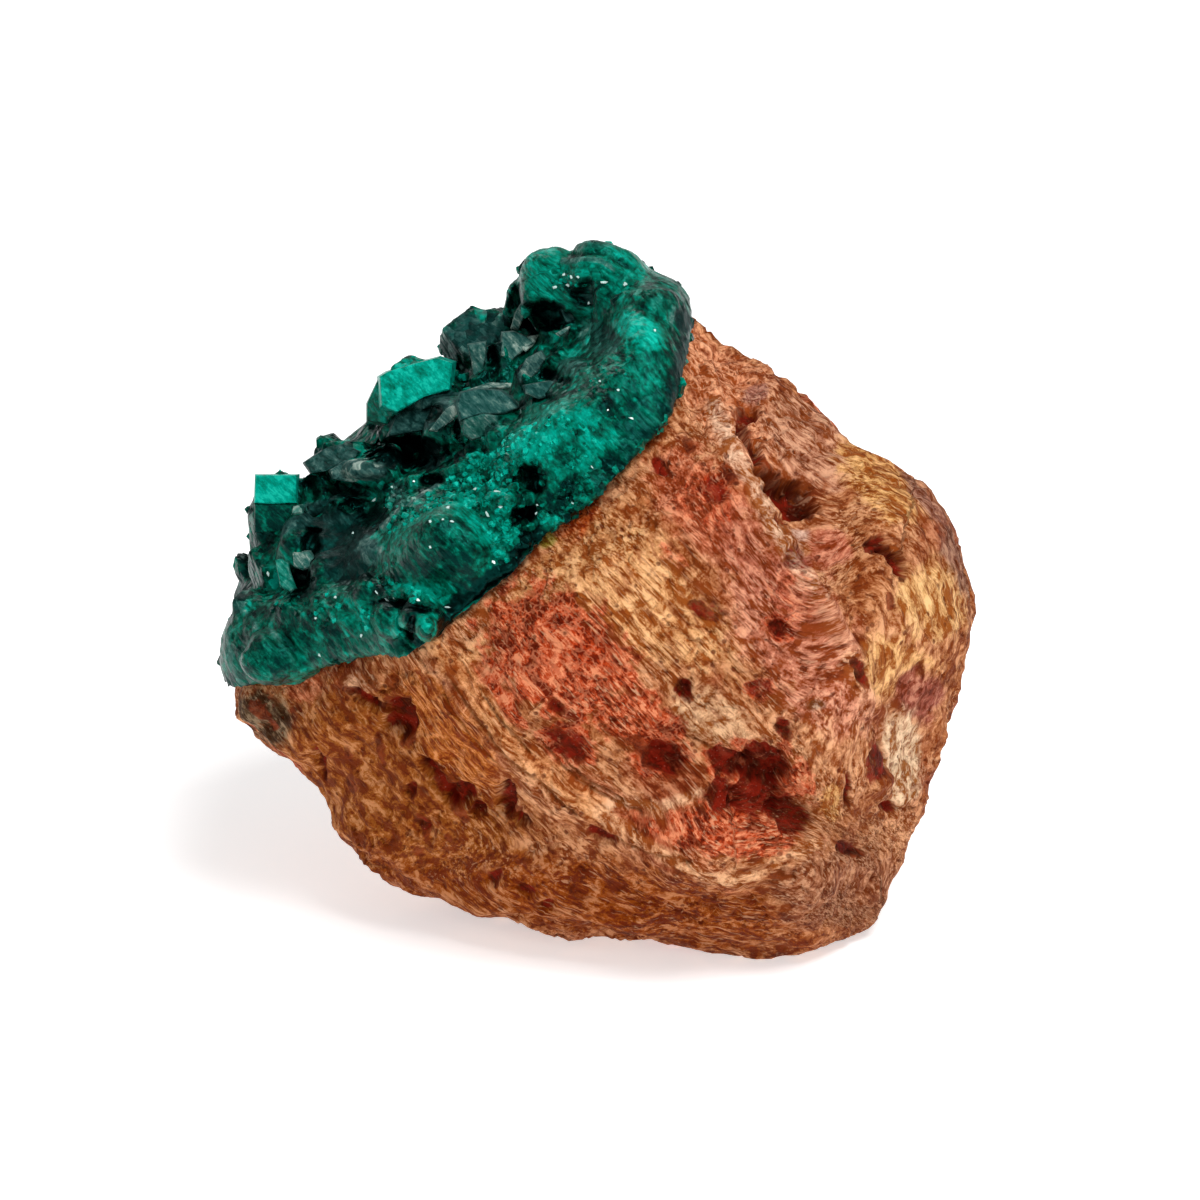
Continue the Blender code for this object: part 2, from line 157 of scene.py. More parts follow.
# Shader maths: a wire is one socket of the material that is being built,
# and an expression on wires adds nodes to it
class Wire:
    tree = None

    def __init__(self, socket):
        self.socket = socket

    @classmethod
    def node(cls, kind, settings, sockets, out=0):
        made = cls.tree.nodes.new(kind)
        for name, value in settings.items():
            if name == "stops":
                ramp = made.color_ramp.elements
                while len(ramp) < len(value):
                    ramp.new(1)
                for stop, (place, colour) in zip(ramp, value):
                    stop.position, stop.color = place, (*colour, 1)
            else:
                setattr(made, name, value)
        for name, value in sockets.items():
            if isinstance(value, Wire):
                cls.tree.links.new(value.socket, made.inputs[name])
            else:
                made.inputs[name].default_value = value
        return cls(made.outputs[out])

    def maths(self, operation, other=0.0, flip=False):
        pair = {0: other, 1: self} if flip else {0: self, 1: other}
        return Wire.node("ShaderNodeMath", {"operation": operation}, pair)

    def __add__(self, other):
        return self.maths("ADD", other)

    def __radd__(self, other):
        return self.maths("ADD", other)

    def __sub__(self, other):
        return self.maths("SUBTRACT", other)

    def __rsub__(self, other):
        return self.maths("SUBTRACT", other, flip=True)

    def __mul__(self, other):
        return self.maths("MULTIPLY", other)

    def __rmul__(self, other):
        return self.maths("MULTIPLY", other)


def attribute(name, out=2):
    return Wire.node("ShaderNodeAttribute", {"attribute_name": name}, {}, out)


def stretched(vector, scale):
    return Wire.node("ShaderNodeVectorMath", {"operation": "MULTIPLY"}, {0: vector, 1: scale})


def cloud(vector, scale, detail=4.0, rough=0.55, warp=0.0):
    sockets = {"Vector": vector, "Scale": scale, "Detail": detail, "Roughness": rough, "Distortion": warp}
    return Wire.node("ShaderNodeTexNoise", {}, sockets)


def cells(vector, scale, feature="F1", out=0, metric="EUCLIDEAN"):
    settings = {"feature": feature, "distance": metric}
    return Wire.node("ShaderNodeTexVoronoi", settings, {"Vector": vector, "Scale": scale}, out)


def between(value, low, high):
    # 0 below low, 1 above high, smooth between
    sockets = {"Value": value, "From Min": low, "From Max": high}
    return Wire.node("ShaderNodeMapRange", {"interpolation_type": "SMOOTHSTEP"}, sockets)


def blend(factor, a, b):
    return Wire.node("ShaderNodeMix", {"data_type": "RGBA"}, {0: factor, 6: a, 7: b}, 2)


def paint(red, green, blue):
    # a colour as the eye names it, 0 to 255, for a shader
    parts = [part / 255 for part in (red, green, blue)]
    return tuple(p / 12.92 if p <= 0.04045 else ((p + 0.055) / 1.055) ** 2.4 for p in parts)


def flat(red, green, blue):
    return (*paint(red, green, blue), 1)


def colourRamp(value, stops):
    colours = [(place, paint(*colour)) for place, colour in stops]
    return Wire.node("ShaderNodeValToRGB", {"stops": colours}, {"Fac": value})


def newMaterial(name):
    material = bpy.data.materials.new(name)
    material.use_nodes = True
    Wire.tree = material.node_tree
    return material, Wire.tree.nodes["Principled BSDF"]


def connect(shader, sockets):
    for name, value in sockets.items():
        if isinstance(value, Wire):
            Wire.tree.links.new(value.socket, shader.inputs[name])
        else:
            shader.inputs[name].default_value = value


def bumped(height, depth, strength=1.0):
    return Wire.node("ShaderNodeBump", {}, {"Height": height, "Distance": depth, "Strength": strength})


# Shapes on the picture: all take and give one number for each point
def smoothStep(low, high, value):
    share = np.clip((value - low) / (high - low), 0, 1)
    return share * share * (3 - 2 * share)


def spotPlace(pixels, spot):
    # 0 at the middle of an ellipse (x, y, half length, half width, turn), 1 at its edge
    x, y, long, wide, turn = spot
    turn = math.radians(turn)
    dx, dy = pixels[:, 0] - x, pixels[:, 1] - y
    along = (dx * math.cos(turn) + dy * math.sin(turn)) / long
    across = (dy * math.cos(turn) - dx * math.sin(turn)) / wide
    return np.hypot(along, across)


def inSpot(pixels, spot, wobble=0.0):
    return 1 - smoothStep(0.7, 1.2, spotPlace(pixels, spot) + wobble)


def pathPlaces(pixels, path):
    # the distance along a path, and the signed distance from it, in pixels
    along = np.zeros(len(pixels))
    best = np.full(len(pixels), 1e9)
    side = np.zeros(len(pixels))
    travelled = 0.0
    for start, end in zip(path, path[1:]):
        start, end = np.array(start, float), np.array(end, float)
        step = end - start
        length = np.hypot(*step)
        step = step / length
        offset = pixels - start
        share = np.clip(offset @ step, 0, length)
        gap = offset - share[:, None] * step
        distance = np.hypot(gap[:, 0], gap[:, 1])
        nearer = distance < best
        turn = step[0] * offset[:, 1] - step[1] * offset[:, 0]
        best = np.where(nearer, distance, best)
        side = np.where(nearer, np.sign(turn), side)
        along = np.where(nearer, travelled + share, along)
        travelled += length
    return along, best * side


def onPath(pixels, path, width, wobble=0.0):
    return 1 - smoothStep(0.5, 1.5, np.abs(pathPlaces(pixels, path)[1]) / width + wobble)


def combed(points, turn, combs):
    # places along and across the grain and towards the camera, in mm
    # a comb is a path that the grain follows in a spot
    pixels = toPixels(points)
    turn = math.radians(turn)
    axes = np.array([[math.cos(turn), math.sin(turn)], [-math.sin(turn), math.cos(turn)]])
    total = pixels @ axes.T
    weights = np.ones(len(pixels))
    for path, spot, weight in combs:
        middle = np.array([spot[:2]], float)
        here = np.stack(pathPlaces(middle, path), 1)
        places = np.stack(pathPlaces(pixels, path), 1) - here + middle @ axes.T
        share = weight * np.exp(-spotPlace(pixels, spot) ** 2)
        total += share[:, None] * places
        weights += share
    total = total / weights[:, None] * view["pixel"]
    return np.column_stack([total, points @ np.array(near)]) / mm


def noiseAt(points, size, octaves=1, shift=0.0):
    # about -1 to 1, at each point, for lumps of the given size
    offset = Vector((shift * 7.3, shift * 3.1, -shift * 5.7))
    if octaves == 1:
        return np.array([noise.noise(Vector(p) / size + offset) for p in points])
    return np.array([noise.fractal(Vector(p) / size + offset, 0.9, 2.1, octaves) for p in points])


def setNumbers(mesh, name, values, domain="POINT"):
    mesh.attributes.new(name, "FLOAT", domain).data.foreach_set("value", np.asarray(values, np.float32))


def setVectors(mesh, name, values):
    everything = np.asarray(values, np.float32).ravel()
    mesh.attributes.new(name, "FLOAT_VECTOR", "POINT").data.foreach_set("vector", everything)


def weldedCopy(node):
    shape = bmesh.new()
    shape.from_mesh(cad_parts[node].data)
    bmesh.ops.remove_doubles(shape, verts=shape.verts, dist=0.001 * mm)
    return shape


def modified(shape, kind, settings):
    # a mesh of the shape as one modifier makes it
    mesh = bpy.data.meshes.new("before")
    shape.to_mesh(mesh)
    source = addObject("before", mesh)
    modifier = source.modifiers.new("made", kind)
    for name, value in settings.items():
        setattr(modifier, name, value)
    bpy.context.view_layer.update()
    graph = bpy.context.evaluated_depsgraph_get()
    after = bpy.data.meshes.new_from_object(source.evaluated_get(graph))
    bpy.data.objects.remove(source)
    return after


def addPiece(name, mesh, node):
    piece = addObject(name, mesh)
    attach(piece, "root")
    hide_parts(node)
    return piece


makeCamera()
lightStudio()
print("camera and light")

# The stone. Spots are ellipses on the picture: x, y, half length, half width, turn. Paths are points on it.
ridgePath = [
    (436, 645), (466, 690), (500, 738), (556, 786), (620, 828),
    (690, 866), (735, 878), (780, 862), (815, 842),
]
ledgePath = [(700, 350), (716, 400), (733, 455), (753, 487), (779, 531), (814, 587), (850, 650), (866, 705)]
stone = {
    "fibreTurn": 46,  # degrees, down to the right on the picture
    "combs": [  # paths that the fibres follow, where, and how strictly
        (ridgePath, (540, 770, 150, 50, 42), 5),
        (ridgePath, (720, 860, 110, 34, 0), 4),
        (ledgePath, (745, 440, 120, 46, 62), 4),
        ([(890, 590), (872, 680), (862, 760), (872, 850)], (885, 730, 130, 46, 90), 4),
        ([(420, 880), (560, 905), (700, 935), (840, 925)], (640, 915, 200, 34, 6), 3),
    ],
    "lumps": [(5.5, 0.50), (2.4, 0.34), (1.1, 0.17), (0.55, 0.07)],  # size and height, mm
    "creases": (2.0, 0.30),  # size and depth, mm
    "fibres": [(0.50, 2.2, 0.085), (0.95, 4.5, 0.13)],  # width, length and height, mm
    "refineFrom": 0.02,  # how far round to the side the mesh is fine
    "crustFace": (-0.576, 0.680, 0.454),  # right, up and near
    "crustCover": 0.93,  # how nearly a face looks that way where the crust hides it
    "ledgeDrop": 0.95,  # mm, to the right of the ledge's edge
    "ledgeReach": 75,  # pixels
    "crackSize": (1.7, 0.28),  # half width in pixels and depth, mm
    "hiddenPits": (4.2, 1.1),  # size and depth, mm, on the sides that the picture doesn't show
    "fullness": 0.35,  # mm, what smoothing the solid takes off it
    "underCrust": 0.12,  # mm, how far it is drawn in under the crust
    "bump": 0.26,  # mm
    "ground": [paint(172, 104, 62), paint(198, 134, 92), paint(150, 72, 40)],  # ochre, tan and brown
    "plainSpots": [(370, 800, 110, 70, 45), (915, 640, 50, 110, 8)],  # with few fibres
    "plainness": 0.8,
    "hollows": [  # spots and depth, mm
        ((728, 762, 22, 15, 20), 1.0), ((764, 762, 28, 20, 30), 1.2),  # the large maroon hollow
        ((757, 792, 26, 28, 0), 1.4), ((722, 796, 18, 20, 15), 1.0), ((792, 816, 26, 20, 35), 1.0),
        ((764, 477, 16, 11, 20), 2.0), ((788, 495, 28, 17, 25), 2.2),  # the deep one by the ledge
        ((741, 433, 8, 20, 0), 1.5), ((757, 449, 7, 13, -20), 1.0), ((749, 411, 11, 9, 0), 0.8),
        ((880, 543, 11, 10, 30), 0.9), ((896, 562, 6, 18, -32), 0.9),
        ((798, 558, 17, 14, 30), 0.5), ((779, 522, 7, 5, 0), 0.7),
        ((684, 689, 9, 12, -25), 0.9), ((667, 758, 22, 17, 10), 1.0), ((783, 728, 10, 9, 0), 0.6),
        ((366, 696, 18, 5, 30), 0.6), ((402, 717, 17, 19, -15), 0.9),
        ((440, 780, 30, 7, 54), 1.0), ((462, 791, 17, 11, 0), 0.8), ((481, 806, 8, 8, 0), 0.7),
        ((508, 798, 9, 17, -10), 0.9), ((524, 818, 11, 5, 30), 0.6), ((412, 788, 6, 7, 0), 0.5),
        ((603, 833, 16, 7, 30), 0.6), ((424, 824, 9, 8, 0), 0.4), ((496, 876, 7, 10, 30), 0.5),
        ((320, 762, 5, 17, -10), 0.5), ((526, 888, 13, 7, 10), 0.5), ((548, 902, 8, 6, 0), 0.4),
        ((660, 467, 14, 8, 50), 0.5), ((714, 491, 14, 13, 0), 0.45), ((778, 628, 13, 9, 30), 0.6),
        ((758, 688, 14, 11, 0), 0.5), ((708, 610, 20, 13, 30), 0.4), ((855, 668, 7, 15, -15), 0.5),
        ((846, 789, 4, 17, 0), 0.6), ((875, 760, 12, 22, 15), 0.6), ((885, 805, 11, 7, 30), 0.6),
        ((845, 847, 15, 8, 10), 0.6), ((557, 705, 9, 8, 0), 0.4), ((567, 745, 24, 16, 30), 0.5),
    ],
    "ridges": [  # paths, half width in pixels and height, mm
        (ridgePath, 13, 0.5), (ledgePath, 9, 0.42),
        ([(880, 590), (868, 660), (850, 720), (880, 780)], 14, 0.4),
        ([(560, 520), (500, 590), (445, 632)], 9, 0.4),
        ([(560, 548), (620, 600), (690, 660), (740, 720)], 18, 0.3),
        ([(820, 430), (870, 480), (930, 540)], 14, 0.5),
    ],
    "cracks": [  # fine dark lines along the ridge
        [(454, 680), (489, 728), (511, 755), (536, 773), (579, 809)], [(466, 668), (500, 716), (530, 752)],
        [(540, 742), (562, 765), (600, 792), (640, 812)], [(560, 757), (590, 780), (625, 800)],
        [(446, 690), (474, 735), (500, 765)], [(590, 820), (640, 846), (690, 858)],
        [(684, 734), (704, 742), (716, 752)], [(872, 800), (890, 808), (912, 808)],
    ],
    "trims": [  # spots where the foot is cut back, and how far, mm
        ((330, 885, 130, 46, 24), 1.0), ((300, 800, 40, 60, 60), 0.6), ((260, 752, 34, 30, 40), 0.7),
        ((560, 945, 130, 28, 5), 0.75),
    ],
}


def denseStone():
    # the solid, made smooth, with small faces where the picture shows it
    shape = weldedCopy("matrix")
    dense = modified(shape, "SUBSURF", {"levels": 2, "render_levels": 2})
    shape.free()
    shape = bmesh.new()
    shape.from_mesh(dense)
    crustOut = Vector(np.array(stone["crustFace"]) @ viewAxes).normalized()
    fine = []
    for face in shape.faces:
        if face.normal.dot(near) > stone["refineFrom"] and face.normal.dot(crustOut) < stone["crustCover"]:
            fine.append(face)
    edges = list({edge for face in fine for edge in face.edges})
    bmesh.ops.subdivide_edges(shape, edges=edges, cuts=1, use_grid_fill=True)
    bmesh.ops.triangulate(shape, faces=[f for f in shape.faces if len(f.verts) > 4])
    shape.to_mesh(dense)
    shape.free()
    return dense


def carveStone(mesh):
    points, normals = pointsOf(mesh), normalsOf(mesh)
    pixels = toPixels(points)
    seen = smoothStep(0.0, 0.25, normals @ np.array(near))
    bare = 1 - smoothStep(0.80, 0.97, normals @ (np.array(stone["crustFace"]) @ viewAxes))
    flow = combed(points, stone["fibreTurn"], stone["combs"])
    height = np.zeros(len(points))
    for number, (size, rise) in enumerate(stone["lumps"]):
        height += rise * noiseAt(points, size * mm, shift=number)
    creaseSize, creaseDepth = stone["creases"]
    crease = np.abs(noiseAt(points, creaseSize * mm, 2, shift=8))
    creased = smoothStep(-0.2, 0.3, noiseAt(points, 6 * mm, shift=7))
    height -= creaseDepth * (1 - smoothStep(0.0, 0.14, crease)) * creased
    # fibres: long low ridges that follow the flow
    for number, (wide, long, rise) in enumerate(stone["fibres"]):
        height += rise * noiseAt(flow / np.array([long, wide, wide * 1.6]), 1.0, 2, shift=3 + number)
    wobble = 0.22 * noiseAt(points, 1.3 * mm, shift=5) + 0.16 * noiseAt(points, 0.5 * mm, shift=6)
    pit = np.zeros(len(points))
    for spot, depth in stone["hollows"]:
        inside = inSpot(pixels, spot, 1.3 * wobble) * seen
        height -= depth * inside
        pit = np.maximum(pit, inside * min(1.0, 0.35 + depth))
    for ridge, width, rise in stone["ridges"]:
        away = np.abs(pathPlaces(pixels, ridge)[1]) / width + 0.4 * wobble
        height += rise * seen * np.exp(-(away ** 2))
    for spot, depth in stone["trims"]:
        height -= depth * inSpot(pixels, spot)
    beyond = -pathPlaces(pixels, ledgePath)[1]
    fade = np.exp(-((beyond / stone["ledgeReach"]) ** 2))
    height -= stone["ledgeDrop"] * seen * smoothStep(2, 16, beyond) * fade
    crack = np.zeros(len(points))
    crackWidth, crackDepth = stone["crackSize"]
    for path in stone["cracks"]:
        crack = np.maximum(crack, seen * onPath(pixels, path, crackWidth, wobble))
    height -= crackDepth * crack
    # the sides that the picture doesn't show have pits of their own
    pitSize, pitDepth = stone["hiddenPits"]
    rough = noiseAt(points, pitSize * mm, 3, shift=9)
    hidden = 1 - seen
    height -= pitDepth * hidden * smoothStep(0.35, 0.75, rough)
    pit = np.maximum(pit, hidden * smoothStep(0.45, 0.8, rough))
    lift = (height + stone["fullness"]) * bare - stone["underCrust"] * (1 - bare)
    points = points + normals * (lift * mm)[:, None]
    points[:, 2] = np.maximum(points[:, 2], 0)
    mesh.vertices.foreach_set("co", points.ravel())
    mesh.update()
    setVectors(mesh, "flow", flow)
    setNumbers(mesh, "pit", pit)
    setNumbers(mesh, "crack", crack)
    return pixels, seen, wobble, points


# The stone's stains, painted one over another: a spot, a colour and how strong. On the lower left face and
# the foot they are painted shade as well
stone["stains"] = [
    ((400, 800, 170, 90, 40), paint(156, 84, 28), 1.0),  # the brown lower left face, painted darker where it turns down: its colour and painted shade
    ((395, 872, 60, 20, 25), paint(144, 66, 2), 0.9),  # its foot, painted darker: its colour and painted shade
    ((640, 905, 200, 44, 8), paint(146, 66, 4), 1.0),  # ochre along the foot, painted darker: its colour and painted shade
    ((450, 730, 78, 30, 52), paint(184, 100, 34), 0.95),  # ochre beside the ridge
    ((306, 684, 22, 18, 0), paint(200, 112, 76), 0.8),
    ((362, 681, 17, 13, 0), paint(196, 146, 112), 0.7),
    ((840, 885, 70, 44, 0), paint(158, 98, 68), 0.9),  # mauve brown at the right foot
    ((640, 590, 120, 60, 32), paint(214, 154, 100), 1.0),  # the tan slope under the crust
    ((730, 400, 110, 44, 56), paint(214, 140, 100), 1.0),  # pinkish along the crust's right edge
    ((712, 715, 50, 26, 30), paint(200, 152, 112), 0.85),  # greyish tan
    ((800, 640, 120, 56, 50), paint(194, 118, 92), 0.9),
    ((700, 500, 66, 42, 45), paint(190, 100, 68), 0.9),
    ((574, 528, 44, 13, -48), paint(176, 70, 14), 0.95),  # orange against the crust
    ((540, 572, 50, 10, -46), paint(196, 136, 84), 0.8),
    ((810, 440, 60, 40, 40), paint(188, 128, 98), 0.9),
    ((875, 480, 56, 24, 50), paint(214, 156, 92), 0.95),  # yellow tan at the top right
    ((920, 500, 46, 8, 52), paint(134, 82, 70), 0.85),  # the dark right rim
    ((800, 533, 11, 9, 0), paint(196, 166, 154), 0.6),  # pale lilac
    ((800, 556, 18, 15, 20), paint(140, 80, 72), 0.8),
    ((833, 545, 24, 20, 20), paint(184, 98, 76), 0.8),
    ((757, 390, 12, 9, 0), paint(144, 84, 76), 0.8),
    ((930, 600, 34, 40, -10), paint(214, 162, 104), 1.0),  # yellow tan at the right
    ((956, 560, 16, 44, -24), paint(126, 84, 70), 0.8),
    ((890, 670, 44, 34, 20), paint(214, 158, 98), 0.95),
    ((922, 698, 24, 28, 0), paint(150, 74, 60), 0.95),  # purple red
    ((904, 757, 19, 46, 5), paint(214, 178, 142), 0.95),  # cream
    ((829, 800, 11, 20, 0), paint(216, 158, 94), 0.9),
    ((620, 800, 90, 20, 36), paint(186, 124, 84), 0.85),
    ((262, 722, 32, 34, 40), paint(72, 58, 40), 0.95),  # grey brown corner
    ((549, 542, 11, 8, -40), paint(128, 116, 24), 0.9),  # a mossy yellow spot by the crust
    ((813, 704, 9, 6, 0), paint(120, 104, 88), 0.7),
    ((630, 812, 130, 15, 34), paint(176, 88, 54), 0.6),  # brown red streaks under the ridge's threads
    ((760, 560, 30, 60, -30), paint(172, 92, 70), 0.7),
    ((700, 580, 50, 16, 44), paint(168, 98, 58), 0.6),
    ((620, 520, 46, 14, -40), paint(176, 108, 60), 0.6),
]
stone["maroonStains"] = [  # where the red turns maroon: a spot and how strong
    ((758, 780, 46, 36, 20), 0.62), ((716, 798, 20, 28, 10), 0.5), ((792, 818, 32, 20, 25), 0.55),
    ((668, 756, 30, 15, 10), 0.5), ((784, 492, 34, 20, 25), 0.85), ((500, 704, 44, 7, 52), 0.35),
    ((742, 430, 12, 34, -14), 0.75), ((764, 464, 26, 12, 50), 0.75), ((908, 508, 40, 8, 50), 0.45),
    ((890, 552, 20, 9, 55), 0.6), ((798, 560, 20, 14, 20), 0.5), ((836, 548, 30, 12, 50), 0.35),
    ((620, 746, 60, 13, 36), 0.3), ((640, 820, 70, 10, 32), 0.3),
]
stone["redStains"] = [  # where the stone is iron red, with pale threads over dark cells
    ((560, 655, 92, 62, 38), 1.0), ((640, 720, 50, 34, 35), 0.85), ((566, 742, 34, 24, 30), 1.0),
    ((500, 700, 46, 14, 50), 0.9), ((660, 756, 34, 22, 0), 0.9), ((730, 830, 80, 26, 8), 0.9),
    ((760, 780, 60, 44, 20), 0.9), ((660, 830, 60, 12, 20), 0.6), ((700, 500, 36, 26, 40), 0.6),
    ((714, 490, 17, 16, 0), 1.0), ((790, 600, 40, 30, 45), 0.45), ((776, 628, 22, 14, 30), 0.9),
    ((760, 690, 18, 14, 0), 0.7), ((676, 560, 24, 12, 45), 0.5),
]
stone["darkMarks"] = [  # dark red and brown marks: a path and its half width
    ([(348, 687), (366, 694), (384, 706)], 4), ([(394, 704), (402, 715), (412, 738)], 9),
    ([(426, 760), (446, 786), (466, 818)], 5), ([(448, 782), (474, 790)], 8), ([(480, 804), (482, 808)], 7),
    ([(506, 786), (510, 812)], 6), ([(516, 806), (530, 822)], 4), ([(318, 748), (324, 778)], 4),
    ([(740, 416), (742, 448)], 6), ([(742, 404), (758, 412)], 5), ([(753, 440), (761, 458)], 4),
    ([(878, 536), (888, 548)], 7), ([(888, 548), (904, 578)], 4), ([(754, 474), (774, 480)], 8),
    ([(766, 486), (806, 500)], 9), ([(800, 500), (808, 512)], 6), ([(776, 520), (782, 524)], 5),
    ([(680, 682), (688, 696)], 7), ([(522, 886), (532, 888)], 5), ([(592, 828), (616, 838)], 5),
    ([(655, 462), (668, 474)], 5), ([(770, 622), (784, 632)], 6), ([(846, 774), (846, 804)], 3.5),
    ([(851, 658), (858, 680)], 5), ([(866, 742), (884, 776)], 6), ([(880, 800), (890, 808)], 5),
    ([(832, 842), (856, 852)], 5), ([(420, 820), (428, 830)], 6), ([(447, 836), (449, 838)], 4),
    ([(494, 872), (498, 882)], 5), ([(411, 785), (413, 791)], 5), ([(350, 780), (354, 786)], 6),
    ([(380, 732), (386, 760)], 4), ([(348, 748), (352, 754)], 5), ([(418, 848), (424, 854)], 4),
    ([(780, 724), (788, 732)], 6), ([(698, 808), (700, 812)], 5), ([(553, 702), (561, 708)], 6),
    ([(556, 730), (580, 758)], 7), ([(724, 472), (733, 488)], 4), ([(686, 446), (690, 452)], 5),
    ([(694, 604), (716, 616)], 6), ([(888, 596), (892, 606)], 4), ([(258, 706), (270, 724)], 7),
    ([(636, 742), (650, 762), (672, 770)], 8), ([(292, 710), (300, 708)], 4),
]
stone["paleBands"] = [  # pale fibrous bands along the ridges: path, half width, colour and strength
    ([(438, 648), (470, 680), (500, 722), (540, 762), (600, 806)], 11, paint(200, 132, 80), 0.75),
    ([(600, 806), (650, 842), (700, 868), (738, 876), (776, 862), (812, 842)], 6, paint(216, 158, 114), 0.75),
    ([(712, 410), (728, 455), (748, 487), (774, 531), (808, 587)], 7, paint(222, 176, 144), 0.8),
    ([(820, 600), (845, 650), (858, 700)], 10, paint(208, 146, 112), 0.6),
    ([(470, 655), (520, 618), (560, 590), (620, 560)], 8, paint(214, 152, 100), 0.7),
    ([(612, 800), (660, 806), (700, 792)], 5, paint(222, 172, 132), 0.6),
]


def painted(under, colour, share):
    share = share[:, None]
    return under * (1 - share) + np.array(colour) * share


def stainAndShadeStone(mesh, pixels, seen, wobble, points):
    ochre, tan, brown = stone["ground"]
    tint = painted(np.array(ochre), tan, smoothStep(-0.4, 0.5, noiseAt(points, 7 * mm, 3, shift=11)))
    tint = painted(tint, brown, smoothStep(0.1, 0.6, noiseAt(points, 9 * mm, 3, shift=13)))
    # stains, with painted shade on the lower left face and the foot
    for spot, colour, strength in stone["stains"]:
        tint = painted(tint, colour, inSpot(pixels, spot, wobble * 1.4) * seen * strength)
    for path, width, colour, strength in stone["paleBands"]:
        tint = painted(tint, colour, strength * seen * onPath(pixels, path, width, wobble))
    red = (1 - seen) * smoothStep(0.2, 0.7, noiseAt(points, 8 * mm, 3, shift=15))
    for spot, strength in stone["redStains"]:
        red = np.maximum(red, strength * seen * inSpot(pixels, spot, wobble * 1.4))
    # the first two bands, along the ridge, are nearly free of red
    for path, width, _, strength in stone["paleBands"][:2]:
        red *= 1 - strength * seen * onPath(pixels, path, width, wobble)
    dark = (1 - seen) * 0.8 * smoothStep(0.35, 0.6, noiseAt(points, 3 * mm, 2, shift=17))
    for path, width in stone["darkMarks"]:
        dark = np.maximum(dark, seen * onPath(pixels, path, width, wobble * 3.2))
    for spot, strength in stone["maroonStains"]:
        dark = np.maximum(dark, strength * seen * inSpot(pixels, spot, wobble * 2))
    plain = np.zeros(len(points))
    for spot in stone["plainSpots"]:
        plain = np.maximum(plain, inSpot(pixels, spot, wobble))
    setVectors(mesh, "tint", tint)
    setNumbers(mesh, "red", red)
    setNumbers(mesh, "dark", dark)
    setNumbers(mesh, "fibrous", 1 - seen * plain * stone["plainness"])


